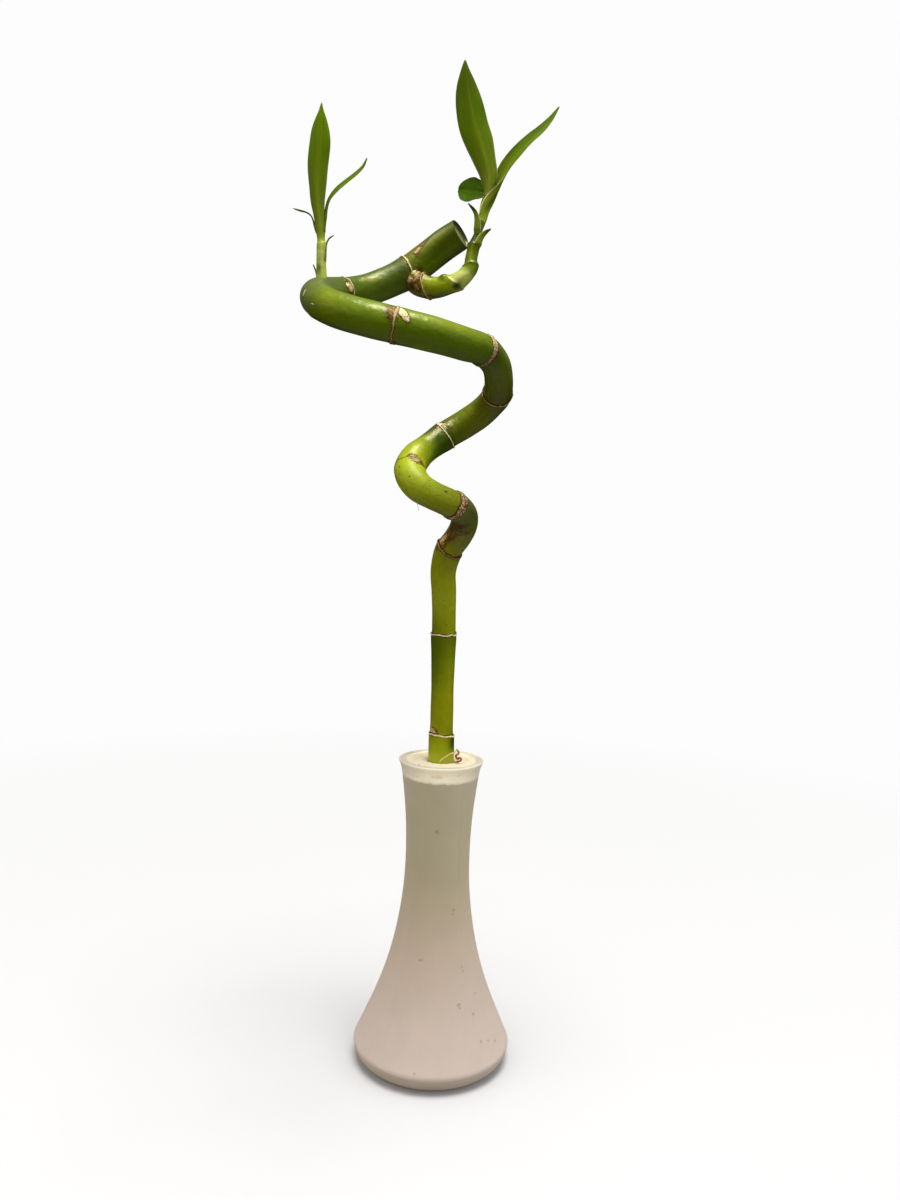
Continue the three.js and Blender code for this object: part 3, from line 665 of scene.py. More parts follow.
class Route:
    """A smooth line through rows of x, y, z and further sizes. A mark is a length along it, in mm."""

    def __init__(self, rows, first_normal=TOWARDS_VIEWER):
        self.places = np.linspace(0, len(rows) - 1, ROUTE_STEPS * (len(rows) - 1) + 1)
        self.table = smooth_points(rows, self.places)
        self.line = self.table[:, :3]
        steps = np.linalg.norm(np.diff(self.line, axis=0), axis=1)
        self.lengths = np.concatenate([[0], np.cumsum(steps)])
        self.length = self.lengths[-1]
        self.tangents = np.gradient(self.line, self.lengths, axis=0)
        self.tangents /= np.linalg.norm(self.tangents, axis=1)[:, None]
        normal = np.array(first_normal, float)
        normals = []
        for tangent in self.tangents:
            normal = normal - tangent * (normal @ tangent)
            normal = normal / np.linalg.norm(normal)
            normals.append(normal)
        self.normals = np.array(normals)
        self.sides = np.cross(self.tangents, self.normals)

    def vectors(self, marks, values):
        """Values of one of the route's vector rows at the marks."""
        return np.stack([np.interp(marks, self.lengths, values[:, k]) for k in range(3)], axis=1)

    def sizes(self, marks, column):
        """Values of a further column of the route at the marks."""
        return np.interp(marks, self.lengths, self.table[:, column])

    def strand(self, marks):
        """The marks, with the line's points and diameters there, for a sweep."""
        return marks, self.vectors(marks, self.line), self.sizes(marks, 3)

    def shares(self, marks):
        """Places of the marks as shares of the route's rows, from 0 to 1."""
        return np.interp(marks, self.lengths, self.places) / self.places[-1]

    def angles(self, marks, points):
        """Angles in degrees of points about the line, from its normal, and their distances from it."""
        away = points - self.vectors(marks, self.line)
        ahead = np.einsum("ij,ij->i", away, self.vectors(marks, self.normals))
        aside = np.einsum("ij,ij->i", away, self.vectors(marks, self.sides))
        return np.degrees(np.arctan2(aside, ahead)) % 360, np.hypot(ahead, aside)


# Shapes of rings and patches

def bell(x, width):
    """A smooth hump of height 1 at 0 that fades out at about width on either side."""
    return np.exp(-2 * (x / width) ** 2)


def rise(x, soft):
    """0 below 0 and 1 above it, with a soft change of that length."""
    return 1 / (1 + np.exp(-np.clip(4 * x / soft, -40, 40)))


def turned(angles, centre):
    """Turns in degrees from centre to the angles, between -180 and 180."""
    return (angles - centre + 180) % 360 - 180


def wobble(angles, seed, first=2, last=13):
    """A wavy line round the cane, about 1 high, that closes on itself."""
    chance = np.random.default_rng(seed)
    total = np.zeros_like(angles)
    for count in range(first, last):
        total += np.sin(np.radians(count * angles) + chance.uniform(0, 2 * np.pi)) / count**0.5
    return total / 1.6


def ring_distance(shape, marks, angles):
    """Signed distance in mm of each point from a ring's line, upwards positive."""
    lean, lean_angle = shape["lean"]
    middle = shape["mark"] + lean * np.cos(np.radians(angles - lean_angle))
    return marks - middle - shape["wave"] * wobble(angles, shape["seed"])


def patch_field(shape, marks, angles, radius):
    """How far each point lies inside a patch, in mm. It is negative outside."""
    aside = np.radians(turned(angles, shape["angle"])) * radius
    ahead = marks - shape["mark"] - shape["slant"] * aside
    reach = np.hypot(ahead / shape["length"], aside / shape["width"])
    return (1 - reach) * min(shape["length"], shape["width"])


def patch_mask(shape, marks, angles, radius):
    """How much of a soft patch covers each point, from 0 to 1."""
    size = min(shape["length"], shape["width"])
    inside = patch_field(shape, marks, angles, radius) / size
    return rise(inside, shape["soft"] * 1.6) * shape["strength"]


def painted(tint, colour, mask):
    """The tint with a colour laid over it where the mask says."""
    return tint + (np.array(colour) - tint) * mask[:, None]


# Geometry trees

def add_node(tree, kind, inputs=None, **settings):
    """A node with its settings, and its inputs given by name or number as values or as sockets."""
    node = tree.nodes.new(kind)
    for name, value in settings.items():
        setattr(node, name, value)
    for name, value in (inputs or {}).items():
        socket = node.inputs[name]
        if isinstance(value, bpy.types.NodeSocket):
            tree.links.new(value, socket)
        else:
            socket.default_value = value
    return node


def math_node(tree, operation, first, second=0.0):
    """The output of a maths node."""
    return add_node(tree, "ShaderNodeMath", {0: first, 1: second}, operation=operation).outputs[0]


def vector_node(tree, operation, first, second):
    """The output of a vector maths node."""
    return add_node(tree, "ShaderNodeVectorMath", {0: first, 1: second}, operation=operation).outputs[0]


def new_tree(name, kind, inputs, outputs):
    """A node group with inputs as (name, socket type, default) and outputs as (name, socket type)."""
    tree = bpy.data.node_groups.new(name, kind)
    for label, socket_type, default in inputs:
        socket = tree.interface.new_socket(label, in_out="INPUT", socket_type=socket_type)
        if default is not None:
            socket.default_value = default
    for label, socket_type in outputs:
        tree.interface.new_socket(label, in_out="OUTPUT", socket_type=socket_type)
    return tree, tree.nodes.new("NodeGroupInput"), tree.nodes.new("NodeGroupOutput")


def geometry_tree(name, inputs):
    """An empty geometry tree with the inputs that every tree here has."""
    return new_tree(
        name, "GeometryNodeTree",
        [("Geometry", "NodeSocketGeometry", None), *inputs, ("Finish", "NodeSocketMaterial", None)],
        [("Geometry", "NodeSocketGeometry")],
    )


def end_tree(tree, geometry, source, sink):
    """The end of every geometry tree: real copies, smooth faces and the piece's finish."""
    real = add_node(tree, "GeometryNodeRealizeInstances", {"Geometry": geometry})
    smooth = add_node(tree, "GeometryNodeSetShadeSmooth", {"Geometry": real.outputs[0]})
    dressed = add_node(tree, "GeometryNodeSetMaterial", {
        "Geometry": smooth.outputs[0], "Material": source.outputs["Finish"],
    })
    tree.links.new(dressed.outputs[0], sink.inputs[0])
    return tree


def sweep_tree():
    """Sweeps a round section along each line of a mesh, as wide as the line's stored half width."""
    if "Sweep Round" in bpy.data.node_groups:
        return bpy.data.node_groups["Sweep Round"]
    tree, source, sink = geometry_tree("Sweep Round", [("Sides", "NodeSocketInt", 12)])
    line = add_node(tree, "GeometryNodeMeshToCurve", {"Mesh": source.outputs["Geometry"]})
    circle = add_node(tree, "GeometryNodeCurvePrimitiveCircle", {
        "Resolution": source.outputs["Sides"], "Radius": 1.0,
    })
    width = add_node(tree, "GeometryNodeInputNamedAttribute", {"Name": "half_width"}, data_type="FLOAT")
    tube = add_node(tree, "GeometryNodeCurveToMesh", {
        "Curve": line.outputs[0], "Profile Curve": circle.outputs[0],
        "Scale": width.outputs[0], "Fill Caps": True,
    })
    return end_tree(tree, tube.outputs[0], source, sink)


def turn_tree():
    """Turns an outline, given as a line of points in the XZ plane, once round the upright axis."""
    if "Turn Outline" in bpy.data.node_groups:
        return bpy.data.node_groups["Turn Outline"]
    tree, source, sink = geometry_tree("Turn Outline", [("Segments", "NodeSocketInt", 96)])
    outline = source.outputs["Geometry"]
    count = add_node(tree, "GeometryNodeAttributeDomainSize", {0: outline}, component="MESH")
    columns = math_node(tree, "ADD", source.outputs["Segments"], 1.0)
    grid = add_node(tree, "GeometryNodeMeshGrid", {
        "Vertices X": count.outputs["Point Count"], "Vertices Y": columns,
    })
    index = add_node(tree, "GeometryNodeInputIndex").outputs[0]
    middle = math_node(tree, "ADD", index, 0.5)
    row = math_node(tree, "FLOOR", math_node(tree, "DIVIDE", middle, columns))
    column = math_node(tree, "SUBTRACT", index, math_node(tree, "MULTIPLY", row, columns))
    share = math_node(tree, "DIVIDE", column, source.outputs["Segments"])
    angle = math_node(tree, "MULTIPLY", share, 2 * math.pi)
    place = add_node(tree, "GeometryNodeInputPosition").outputs[0]
    sample = add_node(tree, "GeometryNodeSampleIndex", {
        "Geometry": outline, "Value": place, "Index": row,
    }, data_type="FLOAT_VECTOR", domain="POINT")
    parts = add_node(tree, "ShaderNodeSeparateXYZ", {0: sample.outputs[0]})
    east = math_node(tree, "MULTIPLY", parts.outputs["X"], math_node(tree, "COSINE", angle))
    north = math_node(tree, "MULTIPLY", parts.outputs["X"], math_node(tree, "SINE", angle))
    spot = add_node(tree, "ShaderNodeCombineXYZ", {"X": east, "Y": north, "Z": parts.outputs["Z"]})
    moved = add_node(tree, "GeometryNodeSetPosition", {
        "Geometry": grid.outputs[0], "Position": spot.outputs[0],
    })
    closed = add_node(tree, "GeometryNodeMergeByDistance", {
        "Geometry": moved.outputs[0], "Distance": 0.001 * MM,
    })
    return end_tree(tree, closed.outputs[0], source, sink)


def hair_tree():
    """Sets fine tapered hairs all over a mesh and keeps the mesh."""
    if "Root Hairs" in bpy.data.node_groups:
        return bpy.data.node_groups["Root Hairs"]
    tree, source, sink = geometry_tree("Root Hairs", [
        ("Density", "NodeSocketFloat", 1e5), ("Length", "NodeSocketFloat", 2 * MM),
        ("Thickness", "NodeSocketFloat", 0.08 * MM), ("Seed", "NodeSocketInt", 1),
    ])
    spread = add_node(tree, "GeometryNodeDistributePointsOnFaces", {
        "Mesh": source.outputs["Geometry"], "Density": source.outputs["Density"],
        "Seed": source.outputs["Seed"],
    })
    hair = add_node(tree, "GeometryNodeMeshCone", {
        "Vertices": 4, "Radius Top": 0.01 * MM, "Radius Bottom": source.outputs["Thickness"],
        "Depth": source.outputs["Length"],
    })
    size = add_node(tree, "FunctionNodeRandomValue", {
        2: 0.4, 3: 1.2, "Seed": source.outputs["Seed"],
    }, data_type="FLOAT")
    copies = add_node(tree, "GeometryNodeInstanceOnPoints", {
        "Points": spread.outputs["Points"], "Instance": hair.outputs["Mesh"],
        "Rotation": spread.outputs["Rotation"], "Scale": size.outputs[1],
    })
    both = add_node(tree, "GeometryNodeJoinGeometry")
    tree.links.new(source.outputs["Geometry"], both.inputs[0])
    tree.links.new(copies.outputs[0], both.inputs[0])
    return end_tree(tree, both.outputs[0], source, sink)


def new_object(name, data):
    """An object in the scene that holds a mesh, a light or a camera."""
    made = bpy.data.objects.new(name, data)
    bpy.context.scene.collection.objects.link(made)
    return made


def run_tree(name, mesh, tree, values):
    """A plain mesh object made by running a geometry tree on a mesh, with inputs given by name."""
    piece = new_object(name, mesh)
    modifier = piece.modifiers.new(tree.name, "NODES")
    modifier.node_group = tree
    for item in tree.interface.items_tree:
        if item.item_type == "SOCKET" and item.in_out == "INPUT" and item.name in values:
            modifier[item.identifier] = values[item.name]
    bpy.context.view_layer.update()
    depsgraph = bpy.context.evaluated_depsgraph_get()
    result = bpy.data.meshes.new_from_object(
        piece.evaluated_get(depsgraph), preserve_all_data_layers=True, depsgraph=depsgraph)
    piece.modifiers.clear()
    piece.data = result
    result.name = name
    return piece


# Meshes

def line_mesh(name, strands):
    """Open lines for the sweep, from strands of marks, points in mm and diameters in mm."""
    vertices = []
    edges = []
    marks = []
    widths = []
    for strand_marks, points, diameters in strands:
        first = len(vertices)
        vertices.extend((np.asarray(points) * MM).tolist())
        edges.extend((first + k, first + k + 1) for k in range(len(points) - 1))
        marks.extend(strand_marks)
        widths.extend(np.asarray(diameters) * MM / 2)
    mesh = bpy.data.meshes.new(name)
    mesh.from_pydata(vertices, edges, [])
    mesh.attributes.new("half_width", "FLOAT", "POINT").data.foreach_set("value", widths)
    mesh.attributes.new("mark", "FLOAT", "POINT").data.foreach_set("value", marks)
    return mesh


def outline_mesh(name, points):
    """A line of radius and height in mm, for the turning tree."""
    mesh = bpy.data.meshes.new(name)
    edges = [(k, k + 1) for k in range(len(points) - 1)]
    mesh.from_pydata([(radius * MM, 0, height * MM) for radius, height in points], edges, [])
    return mesh


def mesh_points(mesh):
    """Vertex places of a mesh in mm."""
    flat = np.empty(len(mesh.vertices) * 3)
    mesh.vertices.foreach_get("co", flat)
    return flat.reshape(-1, 3) / MM


def set_mesh_points(mesh, points):
    """Moves the vertices of a mesh to places in mm."""
    mesh.vertices.foreach_set("co", (points * MM).ravel())
    mesh.update()


def store(mesh, name, values):
    """Stores a number, a vector or a colour for each vertex."""
    values = np.asarray(values, float)
    kind, field = "FLOAT", "value"
    if name.endswith("tint"):
        kind, field = "FLOAT_COLOR", "color"
        values = np.column_stack([values, np.ones(len(values))])
    elif values.ndim == 2:
        kind, field = "FLOAT_VECTOR", "vector"
    mesh.attributes.new(name, kind, "POINT").data.foreach_set(field, values.ravel())


def read(mesh, name):
    """The stored number of each vertex."""
    values = np.empty(len(mesh.vertices))
    mesh.attributes[name].data.foreach_get("value", values)
    return values


def new_piece(name, mesh, material):
    """A mesh object in the scene with one material and smooth faces."""
    mesh.materials.append(material)
    mesh.shade_smooth()
    return new_object(name, mesh)


def swept_piece(name, strands, sides, material):
    """A piece with a round section swept along strands."""
    return run_tree(name, line_mesh(name + "_line", strands), sweep_tree(), {
        "Sides": sides, "Finish": material,
    })


def turned_piece(name, outline, segments, material):
    """A piece turned from an outline."""
    return run_tree(name, outline_mesh(name + "_outline", outline), turn_tree(), {
        "Segments": segments, "Finish": material,
    })


def hand_over(piece, slot, *nodes):
    """Ties a finished piece to the plant's one body, and hides the solids that it stands for."""
    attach(piece, BODY)
    if nodes:
        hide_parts(*nodes)


# Shader groups and materials

def shader_group(name, inputs, outputs):
    """An empty shader group, or None for its tree if it is there already."""
    if name in bpy.data.node_groups:
        return None, None, None
    return new_tree(name, "ShaderNodeTree", inputs, outputs)


def long_fibres():
    """Fine streaks that run along the plant, as a mask and as a height."""
    name = "Long Fibres"
    tree, source, sink = shader_group(
        name,
        [("Vector", "NodeSocketVector", None), ("Across", "NodeSocketFloat", 5.0),
         ("Along", "NodeSocketFloat", 0.15)],
        [("Mask", "NodeSocketFloat"), ("Height", "NodeSocketFloat")],
    )
    if tree is None:
        return bpy.data.node_groups[name]
    stretch = add_node(tree, "ShaderNodeCombineXYZ", {
        "X": source.outputs["Across"], "Y": source.outputs["Across"], "Z": source.outputs["Along"],
    })
    place = vector_node(tree, "MULTIPLY", source.outputs["Vector"], stretch.outputs[0])
    coarse = noise(tree, place, 0.35, 3.0, 0.6)
    tree.links.new(map_range(tree, coarse, 0.35, 0.65, 0, 1), sink.inputs["Mask"])
    tree.links.new(noise(tree, place, 1.3, 2.0, 0.55), sink.inputs["Height"])
    return tree


def specks():
    """Sparse round specks of mixed size, as a mask."""
    name = "Specks"
    tree, source, sink = shader_group(
        name,
        [("Vector", "NodeSocketVector", None), ("Scale", "NodeSocketFloat", 0.3),
         ("Size", "NodeSocketFloat", 0.1), ("Share", "NodeSocketFloat", 0.2)],
        [("Mask", "NodeSocketFloat")],
    )
    if tree is None:
        return bpy.data.node_groups[name]
    cells = add_node(tree, "ShaderNodeTexVoronoi", {
        "Vector": source.outputs["Vector"], "Scale": source.outputs["Scale"],
    })
    chance = add_node(tree, "ShaderNodeSeparateColor", {0: cells.outputs["Color"]})
    chosen = math_node(tree, "LESS_THAN", chance.outputs[0], source.outputs["Share"])
    reach = math_node(tree, "MULTIPLY", source.outputs["Size"], chance.outputs[1])
    depth = math_node(tree, "SUBTRACT", reach, cells.outputs["Distance"])
    mask = math_node(tree, "MULTIPLY", map_range(tree, depth, 0, 0.03, 0, 1), chosen)
    tree.links.new(mask, sink.inputs["Mask"])
    return tree


def group_node(tree, group, inputs):
    """A shader group placed in a material, with its inputs given by name."""
    return add_node(tree, "ShaderNodeGroup", inputs, node_tree=group)


def mix_colour(tree, factor, first, second, blend="MIX"):
    """The output of a colour mix."""
    node = add_node(tree, "ShaderNodeMix", {0: factor}, data_type="RGBA", blend_type=blend)
    for socket, value in ((node.inputs[6], first), (node.inputs[7], second)):
        if isinstance(value, bpy.types.NodeSocket):
            tree.links.new(value, socket)
        else:
            socket.default_value = (*value, 1)
    return node.outputs[2]


def mix_number(tree, factor, first, second):
    """The output of a mix of two numbers."""
    return add_node(tree, "ShaderNodeMix", {0: factor, 2: first, 3: second}, data_type="FLOAT").outputs[0]


def map_range(tree, value, low, high, to_low, to_high):
    """The value moved from one range to another, and held inside it."""
    return add_node(tree, "ShaderNodeMapRange", {
        "Value": value, "From Min": low, "From Max": high, "To Min": to_low, "To Max": to_high,
    }).outputs[0]


def noise(tree, vector, scale, detail=2.0, roughness=0.5):
    """The value of a cloudy noise."""
    return add_node(tree, "ShaderNodeTexNoise", {
        "Vector": vector, "Scale": scale, "Detail": detail, "Roughness": roughness,
    }).outputs[0]


def new_material(name, constants):
    """A material with its Principled shader's constants set on the shader itself."""
    material = bpy.data.materials.new(name)
    material.use_nodes = True
    tree = material.node_tree
    shader = tree.nodes["Principled BSDF"]
    for label, value in constants.items():
        shader.inputs[label].default_value = value
    return material, tree, shader


def finish_material(tree, shader, fields, relief):
    """Feeds the shader's sockets, given by name, and its normal by a relief: strength, depth, height."""
    for name, socket in fields.items():
        tree.links.new(socket, shader.inputs[name])
    strength, depth, height = relief
    bump = add_node(tree, "ShaderNodeBump", {"Strength": strength, "Distance": depth, "Height": height})
    tree.links.new(bump.outputs[0], shader.inputs["Normal"])


def attribute(tree, name):
    """A node that reads what is stored on a piece's vertices."""
    return add_node(tree, "ShaderNodeAttribute", attribute_name=name)


def attribute_parts(tree, name):
    """The three numbers of a vector that is stored on a piece's vertices."""
    vector = attribute(tree, name).outputs["Vector"]
    return tuple(add_node(tree, "ShaderNodeSeparateXYZ", {0: vector}).outputs)


def speck_mask(tree, vector, specks_at):
    """A mask of round specks, given as their middles and radii in the units of the vector."""
    nearest = None
    for x, y, z, radius in specks_at:
        distance = add_node(tree, "ShaderNodeVectorMath", {
            0: vector, 1: (x, y, z),
        }, operation="DISTANCE").outputs["Value"]
        share = math_node(tree, "DIVIDE", distance, radius)
        nearest = share if nearest is None else math_node(tree, "MINIMUM", nearest, share)
    return map_range(tree, nearest, 0.7, 1.2, 1, 0)


def cane_specks():
    """The cane's specks as places on the straightened cane, with their radii, in mm."""
    route = Route(CANE_ROUTE)
    places = []
    for mark, angle, radius in CANE_SPECKS:
        half = float(route.sizes(np.array([mark]), 3)[0]) / 2
        turn = math.radians(angle)
        places.append((half * math.cos(turn), half * math.sin(turn), mark, radius))
    return places


def rind_green(tree, straight, fibres):
    """The rind's stored tint with fibres, mottling, dots and specks."""
    tint = attribute(tree, "tint").outputs["Color"]
    mottle = noise(tree, straight, 0.32, 4.0, 0.6)
    dull = mix_colour(tree, map_range(tree, fibres.outputs["Mask"], 0, 1, 0, 0.3), tint,
                      (0.66, 0.7, 0.8), "MULTIPLY")
    lively = mix_colour(tree, map_range(tree, mottle, 0.42, 0.68, 0, 0.5), dull,
                        (1.22, 1.14, 1.3), "MULTIPLY")
    dots = group_node(tree, specks(), {"Vector": straight, "Scale": 0.21, "Size": 0.09, "Share": 0.3})
    dotted = mix_colour(tree, map_range(tree, dots.outputs[0], 0, 1, 0, 0.7), lively, BROWN)
    placed = math_node(tree, "MULTIPLY", speck_mask(tree, straight, cane_specks()), 0.9)
    return mix_colour(tree, placed, dotted, (0.03, 0.02, 0.006))


def rind_scars(tree, green, grain, ragged):
    """The green with its papery and corky scars, and their mask."""
    depth = math_node(tree, "ADD", attribute(tree, "paper").outputs["Fac"],
                      map_range(tree, ragged, 0.3, 0.7, -1, 1))
    scar = map_range(tree, depth, -0.1, 0.15, 0, 1)
    outline = math_node(tree, "MULTIPLY", map_range(tree, depth, -1.7, -1, 0, 1),
                        map_range(tree, ragged, 0.35, 0.55, 0.55, 1))
    paper_tint = attribute(tree, "paper_tint").outputs["Color"]
    corky = mix_colour(tree, map_range(tree, grain, 0.4, 0.56, 0.6, 0), paper_tint, TAN)
    flaky = mix_colour(tree, map_range(tree, grain, 0.36, 0.45, 0.85, 0), corky, BROWN)
    return mix_colour(tree, scar, mix_colour(tree, outline, green, BROWN), flaky), scar


def rind_rings(tree, scarred, straight, grain, ragged):
    """The rind with its node rings, and the masks of their pale lines, cells and dark edges."""
    from_line, half, ribs = attribute_parts(tree, "ring")
    above, below, cream = attribute_parts(tree, "edge")
    away = math_node(tree, "ADD", from_line, map_range(tree, ragged, 0.3, 0.7, -0.18, 0.18))
    past = math_node(tree, "SUBTRACT", math_node(tree, "ABSOLUTE", away), half)
    line = map_range(tree, past, -0.06, 0.05, 1, 0)
    cells = add_node(tree, "ShaderNodeTexVoronoi", {
        "Vector": vector_node(tree, "MULTIPLY", straight, (1, 1, 0.6)), "Scale": 1.35,
    }, feature="DISTANCE_TO_EDGE").outputs["Distance"]
    ribbed = math_node(tree, "MULTIPLY", map_range(tree, cells, 0.09, 0.22, 0.95, 0), ribs)
    pale = mix_colour(tree, cream, TAN, CREAM)
    mixed = mix_colour(tree, map_range(tree, grain, 0.38, 0.54, 0.4, 0), pale, TAN)
    striped = mix_colour(tree, ribbed, mixed, (0.1, 0.035, 0.015))
    is_above = math_node(tree, "GREATER_THAN", away, 0.0)
    width = mix_number(tree, is_above, below, above)
    rough_width = math_node(tree, "MULTIPLY", width, map_range(tree, ragged, 0.3, 0.6, 0.7, 1.3))
    rim = map_range(tree, math_node(tree, "SUBTRACT", rough_width, past), 0, 0.18, 0, 1)
    skin = mix_colour(tree, line, mix_colour(tree, rim, scarred, BROWN), striped)
    return skin, line, ribbed, rim


def rind_material():
    """Waxy green rind with long fibres and specks, pale node rings with dark edges, and papery scars."""
    material, tree, shader = new_material("Cane Rind", {
        "IOR": 1.45, "Specular IOR Level": 0.65, "Specular Tint": (1, 1, 0.4, 1),
        "Coat Roughness": 0.2,
    })
    wax = attribute(tree, "wax").outputs["Fac"]
    straight = attribute(tree, "straight").outputs["Vector"]
    fibres = group_node(tree, long_fibres(), {"Vector": straight, "Across": 5.5, "Along": 0.16})
    grain = noise(tree, straight, 2.3, 3.0, 0.65)
    ragged = noise(tree, straight, 1.6, 3.0, 0.6)
    green = rind_green(tree, straight, fibres)
    scarred, scar = rind_scars(tree, green, grain, ragged)
    skin, line, ribbed, rim = rind_rings(tree, scarred, straight, grain, ragged)

    dry = math_node(tree, "MAXIMUM", scar, line)
    rough = math_node(tree, "ADD", map_range(tree, wax, 0, 1, 0.25, 0.55),
                      map_range(tree, dry, 0, 1, 0, 0.35))
    smooth_height = math_node(tree, "MULTIPLY", fibres.outputs["Height"], 0.3)
    corky_height = math_node(tree, "MULTIPLY", math_node(tree, "MULTIPLY", grain, dry), 1.1)
    hollow = math_node(tree, "MAXIMUM", rim, ribbed)
    rings_height = math_node(tree, "SUBTRACT", math_node(tree, "MULTIPLY", line, 0.5),
                             math_node(tree, "MULTIPLY", hollow, 0.5))
    dents = math_node(tree, "MULTIPLY", noise(tree, straight, 0.26, 2.0, 0.5), 5.0)
    fine_height = math_node(tree, "ADD", math_node(tree, "ADD", smooth_height, corky_height), rings_height)
    finish_material(tree, shader, {
        "Base Color": skin, "Roughness": rough, "Coat Weight": map_range(tree, dry, 0, 0.5, 0.14, 0),
    }, (0.7, 0.14 * MM, math_node(tree, "ADD", fine_height, dents)))
    return material


def leaf_material():
    """Satin leaf: tint by attribute, parallel veins that close up towards the tip."""
    material, tree, shader = new_material("Leaf Blade", {
        "IOR": 1.45, "Specular IOR Level": 0.3, "Specular Tint": (1, 1, 0.2, 1),
    })
    tint = attribute(tree, "tint").outputs["Color"]
    blade = attribute(tree, "blade").outputs["Vector"]
    veins = group_node(tree, long_fibres(), {"Vector": blade, "Across": 5.0, "Along": 0.05})
    streaks = noise(tree, add_node(tree, "ShaderNodeMapping", {
        "Vector": blade, "Scale": (0.8, 1.0, 0.05),
    }).outputs[0], 1.0, 2.0)
    lighter = mix_colour(tree, map_range(tree, streaks, 0.45, 0.7, 0, 0.55), tint,
                         (1.35, 1.22, 1.0), "MULTIPLY")
    veined = mix_colour(tree, map_range(tree, veins.outputs["Mask"], 0, 1, 0, 0.3), lighter,
                        (0.7, 0.74, 0.8), "MULTIPLY")
    finish_material(tree, shader, {
        "Base Color": veined, "Roughness": map_range(tree, streaks, 0.3, 0.7, 0.36, 0.48),
    }, (0.35, 0.08 * MM, veins.outputs["Height"]))
    return material


def glass_and_see_through_colour(tree, height, drift):
    """The glass's colour from the foot to the rim, with uneven borders, and with painted shade: a greener
    neck for the cane and a paler rim for the plug seen through it.
    """
    level = math_node(tree, "ADD", height, map_range(tree, drift, 0, 1, -5, 5))
    ramp = add_node(tree, "ShaderNodeValToRGB", {0: map_range(tree, level, 0, VASE_HEIGHT, 0, 1)})
    elements = ramp.color_ramp.elements
    elements.remove(elements[1])
    first_position, first_colour = SEE_THROUGH_GLASS_TONES[0]
    elements[0].position = first_position
    elements[0].color = (*first_colour, 1)
    for position, colour in SEE_THROUGH_GLASS_TONES[1:]:
        elements.new(position).color = (*colour, 1)
    return ramp.outputs[0]


def shaken_place(tree, place):
    """The place moved about by up to a mm, so that what is set by it gets uneven edges."""
    jitter = add_node(tree, "ShaderNodeTexNoise", {"Vector": place, "Scale": 0.7, "Detail": 2.0})
    shaken = add_node(tree, "ShaderNodeVectorMath", {
        0: jitter.outputs["Color"], "Scale": 2.0,
    }, operation="SCALE").outputs["Vector"]
    return vector_node(tree, "ADD", place, vector_node(tree, "SUBTRACT", shaken, (1, 1, 1)))


